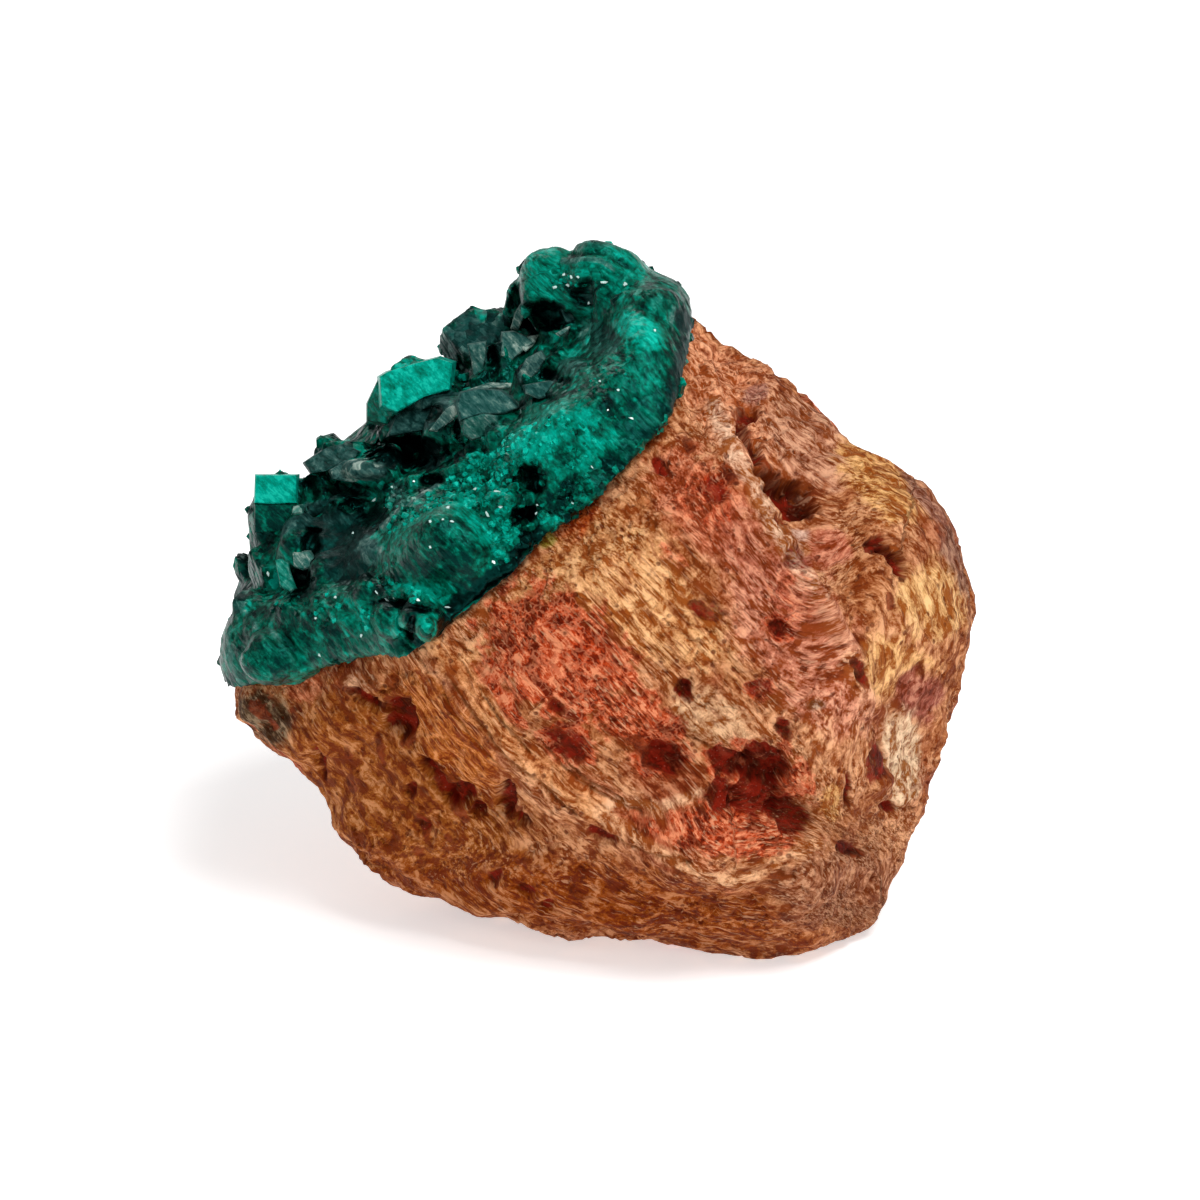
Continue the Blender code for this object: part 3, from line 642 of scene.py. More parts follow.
def stoneMaterial():
    material, shader = newMaterial("iron stained stone")
    flow, tint = attribute("flow", 1), attribute("tint", 1)
    pit, red, dark = attribute("pit"), attribute("red"), attribute("dark")
    crack, fibrous = attribute("crack"), attribute("fibrous")
    # the threads are combed into bundles, with plain pitted stone between the bundles
    strands = fibrous * (0.2 + 0.8 * between(cloud(flow, 0.42, 3, 0.5, 0.8), 0.42, 0.58))
    fibres = cloud(stretched(flow, (0.13, 1.0, 0.8)), 2.6, 5, 0.62, 0.3)
    threads = cloud(stretched(flow, (0.09, 1.0, 0.8)), 5.2, 4, 0.62, 0.25)
    patches = cloud(stretched(flow, (0.65, 1.0, 0.9)), 0.8, 6, 0.62, 0.9)
    mottle = cloud(flow, 0.8, 7, 0.66, 0.7)
    grain = cloud(flow, 6.5, 4, 0.7)
    # pale threads, partly a painted highlight, and the dark gaps between threads, a painted shade
    hairsAndHighlights = between(cloud(stretched(flow, (0.07, 1.0, 0.8)), 5.0, 3, 0.5, 0.3), 0.57, 0.66)
    gapShade = 1 - between(cloud(stretched(flow, (0.25, 1.0, 0.8)), 1.9, 4, 0.6, 0.5), 0.36, 0.48)
    # dark, middle and pale of the stain's own colour
    light = (fibres - 0.5) * strands * 2.2 + (threads - 0.5) * strands * 1.6 + (patches - 0.5) * 1.8
    light = light + (mottle - 0.5) * (2.3 - 1.5 * strands) + (grain - 0.5) * 0.6
    low = stretched(tint, (0.46, 0.22, 0.08))
    high = blend(0.2, stretched(tint, (1.5, 1.6, 1.7)), flat(244, 208, 164))
    colour = blend(between(light, -0.22, 0.08), low, tint)
    colour = blend(between(light, 0.07, 0.32) * 0.95, colour, high)
    blots = between(cloud(flow, 0.95, 4, 0.6, 0.4), 0.60, 0.70)
    colour = blend(blots * 0.6, colour, flat(138, 60, 16))
    # iron red: pale threads over dark red cells
    sway = Wire.node("ShaderNodeTexNoise", {}, {"Vector": flow, "Scale": 1.6}, 1)
    bent = Wire.node("ShaderNodeVectorMath", {"operation": "ADD"}, {
        0: stretched(flow, (0.7, 1.0, 0.9)),
        1: stretched(sway, (0.9, 0.9, 0.9)),
    })
    net = 1 - between(cells(bent, 1.5, "DISTANCE_TO_EDGE"), 0.02, 0.15)
    ironRed = blend(between(light, -0.20, 0.10), flat(100, 10, 0), flat(182, 56, 18))
    ironRed = blend(between(light, 0.10, 0.34), ironRed, flat(232, 142, 100))
    ironRed = blend(net * (1 - strands * 0.6) * 0.55, ironRed, flat(226, 134, 96))
    redEdge = between(red + (patches - 0.5) * 1.5 + (fibres - 0.5) * 1.1, 0.26, 0.86)
    colour = blend(redEdge * 0.92, colour, ironRed)
    # between the threads the stone is painted dark, a painted shade, and the threads that stand out are
    # painted pale: their colour and a painted highlight
    colour = blend(gapShade * 0.6, colour, stretched(colour, (0.34, 0.12, 0.06)))
    hairAndHighlightColour = blend(0.45, stretched(tint, (1.6, 1.8, 2.0)), flat(246, 206, 166))
    colour = blend(hairsAndHighlights * strands * 0.55, colour, hairAndHighlightColour)
    # pores, marks, cracks and hollows
    pores = 1 - between(cells(flow, 1.3), 0.14, 0.30)
    poreField = between(cloud(flow, 0.4, 3), 0.48, 0.6)
    colour = blend(pores * poreField * 0.75, colour, flat(96, 28, 8))
    ragged = (mottle - 0.5) * 0.9 + (fibres - 0.5) * 0.8 + (grain - 0.5) * 0.4
    colour = blend(between(crack + ragged * 1.2, 0.55, 1.05) * 0.6, colour, flat(104, 52, 14))
    markColour = blend(between(mottle, 0.4, 0.6), flat(66, 8, 3), flat(128, 46, 16))
    colour = blend(between(dark + ragged * 1.6, 0.42, 0.86) * 0.85, colour, markColour)
    pitEdge = between(pit + ragged * 1.6, 0.45, 1.0)
    pitColour = blend(between(mottle, 0.42, 0.6), flat(62, 0, 0), flat(126, 14, 6))
    flecks = 1 - between(cells(flow, 2.6), 0.08, 0.18)
    pitColour = blend(flecks * 0.5, pitColour, flat(180, 110, 96))
    colour = blend(pitEdge * 0.9, colour, pitColour)
    height = threads * strands * 0.9 + fibres * strands * 1.1
    height = height + mottle * 0.7 + grain * 0.5 - pores * poreField * 0.7
    connect(shader, {
        "Base Color": colour,
        "Roughness": 0.80 - between(grain, 0.6, 0.8) * 0.3,
        "Specular IOR Level": 0.25,
        "Specular Tint": flat(255, 190, 130),
        "Normal": bumped(height, stone["bump"] * mm),
    })
    return material


def makeStone():
    mesh = denseStone()
    mesh.calc_loop_triangles()
    print("stone triangles", len(mesh.loop_triangles))
    pixels, seen, wobble, points = carveStone(mesh)
    stainAndShadeStone(mesh, pixels, seen, wobble, points)
    mesh.materials.clear()
    mesh.materials.append(stoneMaterial())
    mesh.shade_smooth()
    addPiece("stone", mesh, "matrix")


makeStone()
print("stone")

# The crust. Its spots and paths are places on the picture, as the stone's are
crust = {
    "randomSeed": 19,
    "voxel": 0.27,  # mm, the even mesh's faces
    "massRounds": 26,  # steps of smoothing on the masses
    "fullness": 0.4,  # mm, what smoothing the masses takes off them
    "plateSoft": 1.4,  # how much plainer the large single faces are than the small crystals
    "cornerAngle": 12,  # degrees, a deeper fold parts two crystals
    "facetAngle": 2.5,  # degrees, a sharper edge parts two faces
    "streakTurn": 46,  # degrees
    "streakHeight": 0.10,  # mm
    "growthHeight": 0.03,  # mm
    "clearOfStone": 0.6,  # mm from the stone, where the crust's shaping starts
    "cavityFloor": 0.5,  # mm left between a cavity and the stone
    "seeds": 24,  # kinds of small crystal
    "slope": 51,  # degrees, from the crystal's axis to where an end face looks
    "sunk": 0.35,  # how deep a small crystal's middle sits, of its radius
    "plateEdge": 0.12,  # mm, the chamfer
    "glintSize": {"lift": 0.12, "depth": 0.5, "edge": 0.03},  # mm
    "glintLook": (1.25, 0.25),  # light and grey, for a painted highlight
    "plainLook": (0.36, 0.12),  # light and grey where nothing is painted
    "bump": 0.16,  # mm
    "greens": [  # dark to light
        (0.0, (0, 1, 2)), (0.15, (0, 22, 18)), (0.32, (0, 62, 46)), (0.5, (0, 104, 82)),
        (0.68, (0, 142, 120)), (0.85, (0, 168, 146)), (1.0, (20, 196, 172)),
    ],
    "greys": [
        (0.0, (1, 4, 6)), (0.2, (10, 26, 26)), (0.4, (26, 54, 52)), (0.6, (50, 84, 80)),
        (0.8, (90, 120, 112)), (1.0, (170, 188, 176)),
    ],
    "behind": {"count": 600, "sizes": (0.22, 0.55)},  # small crystals on the far side, radius in mm
    "combs": [  # paths that the streaks follow, where, and how strictly
        ([(560, 264), (585, 252), (608, 252), (630, 268), (650, 290), (668, 320)], (612, 268, 60, 34, 25), 5),
        ([(600, 300), (650, 345), (680, 400)], (650, 350, 60, 50, 50), 3),
    ],
    "masses": [  # spots where the crystals are massed into one smooth, streaky body
        (578, 275, 74, 44, 5), (655, 330, 44, 60, 10), (632, 395, 52, 70, 35), (562, 438, 62, 42, -25),
        (450, 545, 62, 50, 0), (310, 632, 112, 42, -14), (448, 416, 78, 30, -8), (330, 545, 60, 34, 0),
        (570, 500, 40, 30, -45),
    ],
    "domes": [  # spots and height, mm
        ((553, 270, 30, 28, 0), 0.8), ((607, 274, 34, 28, 20), 0.5), ((643, 334, 38, 20, 38), 0.35),
        ((664, 302, 24, 26, 0), 0.5), ((572, 426, 40, 28, -10), 0.7), ((528, 448, 38, 24, -20), 0.6),
        ((450, 545, 62, 50, 0), 0.9), ((575, 368, 22, 13, 0), 0.5), ((374, 551, 16, 16, 0), 0.4),
        ((399, 627, 11, 16, 0), 1.0), ((426, 627, 13, 16, 0), 1.0), ((414, 593, 24, 12, 10), 0.8),
        ((510, 538, 11, 10, 0), 0.9), ((545, 519, 7, 7, 0), 0.6), ((342, 453, 22, 11, -10), 0.6),
        ((360, 470, 32, 12, 5), 0.8), ((305, 517, 32, 12, -45), 0.8), ((620, 385, 30, 20, 30), 0.4),
        ((300, 640, 30, 10, 35), 0.4), ((350, 622, 34, 10, 38), 0.4), ((262, 645, 26, 12, 60), 0.4),
    ],
    "cavities": [  # spots and depth, mm
        ((542, 317, 27, 15, 0), 2.8), ((587, 293, 15, 11, 20), 0.9), ((517, 300, 7, 15, 20), 1.2),
        ((549, 374, 7, 9, 40), 1.0), ((565, 382, 9, 4, 0), 0.9), ((547, 401, 14, 5, 10), 1.0),
        ((493, 362, 7, 18, 0), 1.3), ((461, 372, 9, 13, 0), 0.8), ((434, 415, 10, 7, -20), 1.8),
        ((462, 428, 3, 10, 0), 1.0), ((406, 453, 38, 15, -4), 3.2), ((432, 480, 12, 7, 0), 1.4),
        ((350, 506, 18, 8, 0), 1.6), ((312, 548, 9, 17, 0), 1.8), ((302, 590, 15, 22, 0), 2.4),
        ((376, 515, 20, 17, 0), 1.0), ((531, 480, 17, 14, 10), 2.0), ((522, 515, 13, 9, -20), 2.0),
        ((312, 488, 13, 12, 0), 0.8), ((530, 553, 16, 8, -45), 1.8), ((488, 597, 52, 8, -38), 1.8),
        ((407, 607, 34, 4, 8), 1.1), ((412, 628, 3, 14, 8), 1.4), ((380, 425, 12, 7, -20), 1.2),
    ],
    "lines": [  # paths, half width, height in mm, light and grey
        ([(386, 528), (402, 513), (419, 503), (440, 487)], 3.0, 0.35, 0.74, 1.0),
        ([(569, 267), (583, 262), (597, 262), (606, 267), (613, 274)], 3.0, 0.16, 0.60, 0.85),
        ([(574, 259), (589, 255), (606, 255), (615, 263), (631, 271)], 2.6, -0.22, 0.26, 0.0),
        ([(666, 312), (667, 331)], 2.2, 0.10, 0.66, 0.8),
        ([(648, 300), (660, 316), (664, 330)], 1.6, 0.08, 0.56, 0.6),
        ([(348, 601), (362, 614), (378, 632)], 1.8, 0.12, 0.70, 0.1),
        ([(304, 628), (320, 638)], 1.8, 0.10, 0.66, 0.2),
        ([(272, 634), (290, 660)], 2.6, 0.12, 0.64, 0.75), ([(246, 610), (262, 632)], 2.2, 0.10, 0.58, 0.8),
        ([(326, 604), (340, 622), (352, 634)], 1.8, 0.10, 0.62, 0.2),
        ([(296, 604), (330, 640)], 1.6, 0.08, 0.56, 0.4),
        ([(232, 630), (236, 668), (244, 690)], 3.0, 0.05, 0.56, 0.75),
    ],
}

# Spots painted one over another: how light the crust is (0 black, 1 bright) and how grey (0 green, 1 grey)
# the near-black spots, in the cavities and in the gap under the large rounded crystal, are painted shade
crust["tones"] = [
    ((575, 275, 78, 46, 5), 0.50, 0.12), ((550, 268, 24, 24, 0), 0.58, 0.0),  # the dome and its left lobe
    ((590, 248, 28, 7, 0), 0.54, 0.65), ((560, 250, 8, 5, 0), 0.60, 0.8), ((526, 272, 4, 7, 20), 0.66, 0.7),
    ((516, 300, 8, 14, 20), 0.16, 0.0), ((632, 264, 26, 11, 45), 0.57, 0.15),
    ((585, 293, 17, 13, 15), 0.10, 0.0),
    ((665, 300, 22, 22, 0), 0.42, 0.55),  # the shoulder
    ((630, 405, 46, 56, 40), 0.30, 0.3),  # the streaky mass
    ((679, 322, 9, 14, -10), 0.18, 0.9), ((676, 376, 14, 44, 12), 0.22, 0.75),
    ((648, 440, 42, 18, -38), 0.27, 0.5),
    ((625, 372, 42, 28, 20), 0.42, 0.08), ((600, 340, 28, 20, 20), 0.40, 0.72),
    ((641, 334, 31, 14, 38), 0.68, 0.0), ((647, 336, 15, 7, 38), 0.82, 0.0),  # the bright patch
    ((573, 368, 20, 10, 5), 0.42, 0.72), ((572, 353, 11, 4, -5), 0.66, 0.5), ((588, 341, 3, 5, 0), 0.68, 0.5),
    ((542, 317, 29, 17, 0), 0.03, 0.2), ((546, 318, 8, 9, 0), 0.20, 0.7),  # the cavity under the dome, painted near black: painted shade
    ((475, 345, 42, 34, -30), 0.40, 0.95), ((453, 348, 15, 11, 0), 0.42, 1.0),  # grey crystals on the skyline
    ((461, 372, 11, 14, 0), 0.20, 0.3), ((493, 362, 7, 19, 0), 0.12, 0.3), ((549, 376, 9, 9, 40), 0.02, 0.4),
    ((565, 382, 9, 4, 0), 0.02, 0.4), ((548, 400, 15, 6, 10), 0.03, 0.4),
    ((405, 384, 47, 29, -18), 0.72, 0.04), ((374, 412, 11, 10, 0), 0.36, 0.1),  # the bright crystal
    ((446, 362, 9, 4, 0), 0.50, 1.0),
    ((425, 412, 38, 22, -15), 0.40, 1.0), ((490, 405, 30, 13, 0), 0.52, 1.0),
    ((482, 428, 20, 11, -10), 0.58, 0.9),
    ((434, 415, 11, 8, -20), 0.0, 0.5), ((462, 428, 3, 11, 0), 0.02, 0.5), ((377, 428, 10, 9, 0), 0.06, 0.3),
    ((406, 453, 42, 17, -4), 0.0, 0.8), ((430, 462, 11, 9, 0), 0.20, 1.0),  # the black cavity, painted black: painted shade
    ((320, 462, 16, 10, -20), 0.44, 0.8), ((342, 453, 18, 10, -10), 0.38, 0.9),
    ((360, 470, 31, 11, 5), 0.60, 1.0),
    ((360, 490, 34, 7, 0), 0.18, 0.4), ((398, 496, 11, 17, 0), 0.48, 0.9), ((432, 480, 12, 7, 0), 0.02, 0.5),
    ((345, 535, 46, 48, 0), 0.15, 0.75),  # the dark mass
    ((305, 517, 33, 12, -45), 0.40, 1.0),  # its slate arc
    ((350, 506, 18, 8, 0), 0.02, 0.5), ((376, 520, 16, 16, 0), 0.08, 0.5), ((342, 520, 22, 7, 0), 0.26, 0.9),
    ((312, 548, 9, 18, 0), 0.02, 0.5), ((340, 566, 18, 24, 0), 0.20, 0.8), ((302, 590, 17, 24, 0), 0.0, 0.5),
    ((374, 551, 14, 14, 0), 0.60, 1.0), ((312, 487, 16, 14, 0), 0.14, 0.0),
    ((275, 489, 22, 15, 0), 0.78, 0.0),
    ((275, 520, 24, 14, 0), 0.26, 0.1), ((258, 545, 16, 20, 0), 0.20, 0.15),
    ((236, 600, 12, 28, 0), 0.28, 0.8),
    ((560, 442, 56, 42, -25), 0.48, 0.05), ((572, 424, 30, 20, 0), 0.62, 0.0),  # the bright band
    ((530, 448, 34, 16, -20), 0.66, 0.0), ((598, 440, 20, 13, 0), 0.60, 0.0),
    ((485, 480, 42, 26, -30), 0.54, 0.05),
    ((531, 480, 17, 14, 10), 0.08, 0.3), ((522, 515, 14, 10, -20), 0.02, 0.3),
    ((565, 496, 30, 12, -42), 0.20, 0.2),
    ((450, 548, 64, 50, 0), 0.56, 0.0), ((450, 550, 52, 40, 0), 0.38, 0.0),  # the large rounded crystal
    ((476, 532, 18, 16, 0), 0.60, 0.0),
    ((440, 520, 40, 7, -20), 0.55, 0.1), ((440, 562, 32, 16, 0), 0.28, 0.0),
    ((500, 566, 24, 13, -35), 0.50, 0.0),
    ((510, 538, 11, 10, 0), 0.74, 0.0), ((545, 519, 7, 7, 0), 0.66, 0.0),
    ((310, 632, 112, 38, -14), 0.35, 0.15), ((262, 650, 40, 32, 30), 0.36, 0.45),
    ((350, 615, 40, 16, 20), 0.46, 0.05),
    ((399, 627, 9, 14, 0), 0.66, 0.0), ((426, 627, 12, 14, 0), 0.68, 0.0),
    ((414, 593, 21, 10, 10), 0.62, 0.2),
    ((407, 608, 36, 4, 8), 0.02, 0.2), ((412, 628, 2.5, 14, 8), 0.02, 0.2),
    # painted shadow: the black gap where the large rounded crystal meets the stone
    ((488, 592, 62, 15, -38), -0.6, 0.2), ((530, 551, 22, 13, -45), -0.6, 0.2),
    ((452, 622, 22, 10, -30), -0.6, 0.2),
]

# Glints, painted highlights set on the crust as small plates: x, y, half length and half width in pixels, and
# turn
crust["glints"] = [
    (555, 287, 4, 2.2, -15), (568, 285, 4, 2.2, -15), (571, 277, 3, 2, 30), (578, 277, 2.5, 1.5, 0),
    (564, 274, 4, 2, -20),
    (603, 282, 5.5, 2.6, 0), (625, 284, 3, 3, -40), (589, 303, 2, 2, 0), (430, 376, 4, 2, 0),
    (430, 386, 2.4, 2, 0),
    (446, 386, 2.6, 2.6, 0), (440, 379, 5, 1.8, 40), (435, 381, 3, 2, -30), (408, 391, 2.4, 1.4, 0),
    (475, 489, 3.4, 2, -20), (497, 491, 5, 1.6, 5), (448, 507, 2.2, 2.6, 30), (487, 514, 2.4, 4.4, -20),
    (501, 507, 4, 2, 25), (480, 470, 3.6, 1.6, 40), (508, 447, 2, 1.6, 0), (489, 419, 2.4, 2.2, 30),
    (374, 500, 4, 1.6, -45), (392, 487, 2.2, 2.2, 0), (414, 481, 2, 1.8, 0), (353, 533, 2.4, 1.8, 0),
    (335, 597, 2.2, 2.2, 0), (376, 592, 3.4, 1.4, 50), (386, 599, 4.4, 1.6, 45), (394, 598, 3, 1.4, 50),
    (315, 618, 2, 2, 0), (361, 635, 1.8, 3, 0), (268, 574, 2, 5, -10), (430, 547, 1.8, 1.8, 0),
    (443, 519, 2, 2, 0),
    (452, 521, 3, 1.6, 10), (430, 521, 2.4, 1.8, 0), (494, 562, 3.4, 2.4, 30), (536, 513, 2.4, 1.2, -50),
    (524, 527, 3.6, 1.4, -10), (537, 505, 1.6, 1.6, 0), (573, 503, 2.4, 1.6, 40), (592, 467, 3, 1.2, 50),
    (447, 607, 5, 1.2, 5), (418, 600, 3, 2, 10), (319, 655, 3, 1.6, 50), (465, 484, 2.6, 1.4, 20),
    (508, 494, 2.6, 1.4, -30), (517, 500, 1.6, 2.6, 0), (463, 498, 2.6, 1.4, 30), (618, 390, 1.8, 1.8, 0),
    (600, 381, 2.2, 1.8, 20), (631, 418, 4, 1.6, 20), (608, 410, 2, 1.6, 0), (655, 330, 3, 1.6, 45),
]

# Small crystals: a spot, how many, and their least and greatest radius in mm
crust["sprinkles"] = [
    ((436, 506, 56, 12, -28), 90, (0.14, 0.34)), ((484, 480, 40, 30, -30), 170, (0.16, 0.42)),
    ((512, 530, 20, 34, 20), 60, (0.16, 0.42)), ((566, 500, 34, 12, -42), 50, (0.14, 0.34)),
    ((330, 612, 60, 14, 8), 40, (0.14, 0.30)), ((395, 590, 30, 10, 20), 30, (0.16, 0.34)),
    ((398, 496, 12, 18, 0), 40, (0.14, 0.30)), ((572, 282, 22, 10, 0), 20, (0.12, 0.26)),
    ((438, 382, 14, 8, 20), 16, (0.12, 0.30)), ((468, 432, 30, 10, -10), 20, (0.14, 0.34)),
    ((600, 395, 40, 30, 0), 30, (0.10, 0.20)), ((545, 455, 60, 26, -25), 120, (0.12, 0.30)),
]

# Crystal faces and plates that the picture shows one by one: the corners on it, which way the face
# looks (right, up, near), how far it stands out and how deep it goes in mm, and its light and grey
crust["plates"] = [
    (((526, 295), (530, 303), (518, 329), (511, 327), (515, 312)), (-0.4, 0.1, 0.9), 1.2, 1.2, 0.78, 1.0),
    (((502, 332), (514, 331), (526, 336), (534, 343), (526, 348), (512, 360), (501, 355)),
     (0.1, 0.2, 0.9), 0.8, 1.6, 0.66, 1.0),
    (((523, 337), (540, 334), (534, 344), (526, 351), (520, 346)), (0.2, 0.5, 0.7), 1.1, 1.0, 0.82, 1.0),
    (((468, 345), (486, 342), (486, 356), (483, 368), (488, 382), (474, 381), (472, 362)),
     (0.2, 0.0, 0.9), 0.8, 1.5, 0.62, 0.9),
    (((541, 351), (545, 359), (538, 371), (527, 383), (519, 384), (517, 375), (526, 359)),
     (-0.2, -0.1, 0.9), 0.8, 1.2, 0.66, 1.1),
    (((524, 385), (545, 381), (561, 380), (564, 388), (558, 395), (539, 398), (526, 393)),
     (0.1, 0.4, 0.8), 0.5, 1.4, 0.54, 1.0),
    (((561, 309), (572, 312), (576, 320), (567, 323)), (0.2, 0.2, 0.9), 0.6, 1.0, 0.60, 1.1),
    (((556, 333), (566, 327), (571, 325), (568, 331), (560, 336)), (0.1, 0.3, 0.9), 0.7, 0.8, 0.84, 1.0),
    (((394, 419), (408, 406), (432, 395), (461, 391), (457, 402), (446, 409), (428, 428), (388, 435)),
     (-0.3, 0.5, 0.8), 0.7, 2.6, 0.44, 1.0),
    (((461, 392), (478, 388), (501, 390), (513, 399), (519, 407),
      (505, 413), (480, 414), (461, 420), (457, 404)),
     (0.2, 0.4, 0.9), 0.8, 2.6, 0.56, 1.0),
    (((469, 389), (490, 382), (522, 383), (520, 387), (491, 387), (470, 393)),
     (0.0, 0.9, 0.5), 1.1, 1.0, 0.80, 0.95),
    (((458, 402), (462, 407), (454, 419), (437, 431), (429, 430), (446, 409)),
     (-0.3, 0.0, 0.9), 1.2, 1.2, 0.70, 1.1),
    (((464, 419), (484, 414), (499, 416), (497, 428), (484, 437), (472, 440), (464, 434)),
     (0.2, -0.2, 0.9), 0.7, 1.8, 0.62, 0.8),
    (((330, 470), (344, 460), (366, 457), (384, 463), (392, 470), (376, 478), (352, 481), (334, 478)),
     (-0.1, 0.6, 0.7), 0.6, 1.5, 0.64, 1.0),
    (((304, 462), (326, 447), (344, 443), (360, 451), (350, 460), (325, 470), (311, 472)),
     (-0.2, 0.6, 0.7), 0.5, 2.0, 0.42, 0.85),
    (((293, 552), (310, 551), (317, 563), (312, 567), (303, 570), (294, 566)),
     (0.2, 0.2, 0.9), 0.8, 1.2, 0.70, 0.85),
    (((275, 560), (287, 556), (290, 570), (296, 588), (290, 593), (280, 586)),
     (-0.2, 0.1, 0.9), 0.8, 1.2, 0.68, 0.6),
    (((294, 572), (302, 575), (311, 575), (309, 579), (302, 581), (296, 578)),
     (0.1, -0.2, 0.9), 0.7, 1.0, 0.56, 0.85),
    (((255, 475), (296, 475), (296, 503), (270, 504), (254, 503)), (-0.1, -0.1, 1.0), 0.5, 3.0, 0.80, 0.0),
    (((258, 474), (272, 470), (306, 467), (298, 474)), (-0.05, 0.95, 0.3), 0.6, 1.4, 0.92, 0.9),
    (((254, 504), (296, 504), (294, 516), (284, 532), (254, 533)), (-0.1, -0.25, 0.9), 0.35, 3.0, 0.28, 0.0),
    (((379, 376), (387, 371), (413, 363), (437, 357), (452, 362),
      (449, 389), (424, 396), (397, 411), (381, 405)),
     (-0.2, 0.4, 0.9), 0.5, 3.0, 0.76, 0.0),
    (((379, 376), (381, 405), (397, 411), (386, 424), (366, 421), (366, 403)),
     (-0.6, -0.1, 0.8), 0.3, 3.0, 0.48, 0.0),
]


def numberGroups(shape, name, joined):
    # numbers the patches of faces whose shared edges pass the test
    layer = shape.faces.layers.int.new(name)
    count = 0
    for first in shape.faces:
        if first[layer]:
            continue
        count += 1
        first[layer] = count
        waiting = [first]
        while waiting:
            face = waiting.pop()
            for edge in face.edges:
                for other in edge.link_faces:
                    if not other[layer] and joined(edge):
                        other[layer] = count
                        waiting.append(other)
    return layer, count


def asArrays(shape):
    shape.verts.index_update()
    points = np.array([v.co[:] for v in shape.verts])
    faces = np.array([[v.index for v in f.verts] for f in shape.faces])
    return points, faces


def pointNormals(points, faces):
    out = np.cross(points[faces[:, 1]] - points[faces[:, 0]], points[faces[:, 2]] - points[faces[:, 0]])
    found = np.zeros_like(points)
    for corner in range(3):
        for axis in range(3):
            found[:, axis] += np.bincount(faces[:, corner], out[:, axis], len(points))
    return found / np.maximum(np.linalg.norm(found, axis=1), 1e-15)[:, None]


def relaxed(points, faces, share, rounds):
    # moves each point towards the middle of its neighbours, by its share
    starts, ends = faces.ravel(), np.roll(faces, 1, axis=1).ravel()
    count = np.bincount(starts, minlength=len(points))
    for _ in range(rounds):
        middle = np.stack([np.bincount(starts, points[ends, axis], len(points)) for axis in range(3)], 1)
        points = points + (middle / count[:, None] - points) * share[:, None] * 0.6
    return points


def seedCrystals(picker):
    # crystals of about unit size, cut from a block by a base, six side faces and three end faces
    made = []
    slope = math.radians(crust["slope"])
    for _ in range(crust["seeds"]):
        shape = bmesh.new()
        bmesh.ops.create_cube(shape, size=6)
        cuts = [(Vector((0, 0, -1)), 1.2)]
        for side in range(6):
            turn = math.radians(60 * side)
            outward = Vector((math.cos(turn), math.sin(turn), 0))
            cuts.append((outward, picker.uniform(0.75, 1.1)))
            if side % 2 == 0:
                upward = Vector((math.sin(slope) * outward.x, math.sin(slope) * outward.y, math.cos(slope)))
                cuts.append((upward, 0.9 + picker.uniform(-0.25, 0.25)))
        for outward, distance in cuts:
            everything = shape.verts[:] + shape.edges[:] + shape.faces[:]
            cut = bmesh.ops.bisect_plane(
                shape, geom=everything, plane_co=outward * distance, plane_no=outward, clear_outer=True
            )
            rim = [e for e in cut["geom_cut"] if isinstance(e, bmesh.types.BMEdge)]
            bmesh.ops.holes_fill(shape, edges=rim)
        bmesh.ops.triangulate(shape, faces=shape.faces[:])
        bmesh.ops.recalc_face_normals(shape, faces=shape.faces[:])
        made.append(asArrays(shape))
        shape.free()
    return made


def inMasses(points, normals):
    pixels = toPixels(points)
    soft = np.zeros(len(points))
    for spot in crust["masses"]:
        soft = np.maximum(soft, inSpot(pixels, spot))
    return soft * smoothStep(-0.5, -0.1, normals @ np.array(near))


def crustBody(picker):
    # the solid crust as an even mesh, smooth where it is massed, and how its crystals' faces differ
    shape = weldedCopy("dioptase_crust")
    bmesh.ops.triangulate(shape, faces=shape.faces[:])
    corner = math.radians(crust["cornerAngle"])
    edge = math.radians(crust["facetAngle"])
    crystal, crystals = numberGroups(shape, "crystal", lambda e: e.calc_face_angle_signed(0) > -corner)
    facet, facets = numberGroups(shape, "facet", lambda e: e.calc_face_angle(0) < edge)
    crystalTone = [picker.uniform(-1, 1) for _ in range(crystals + 1)]
    facetTone = [picker.uniform(-1, 1) for _ in range(facets + 1)]
    faceTones = [0.5 * crystalTone[face[crystal]] + 0.6 * facetTone[face[facet]] for face in shape.faces]
    shape.faces.index_update()
    solidTree = BVHTree.FromBMesh(shape)
    even = modified(shape, "REMESH", {"mode": "VOXEL", "voxel_size": crust["voxel"] * mm})
    shape.free()
    shape = bmesh.new()
    shape.from_mesh(even)
    bmesh.ops.triangulate(shape, faces=shape.faces[:])
    points, faces = asArrays(shape)
    shape.free()
    nearest = [solidTree.find_nearest(Vector(place))[2] for place in points[faces].mean(1)]
    tone = np.array([faceTones[index] for index in nearest])
    soft = inMasses(points, pointNormals(points, faces))
    points = relaxed(points, faces, soft, crust["massRounds"])
    return points, faces, tone


def depthOver(tree, points, chosen):
    # how far behind each chosen point the tree's surface is, in mm, with 5 where it is missed
    found = np.zeros(len(points))
    for index in np.flatnonzero(chosen):
        hit = tree.ray_cast(Vector(points[index]), -near)
        found[index] = hit[3] / mm if hit[0] else 5.0
    return found


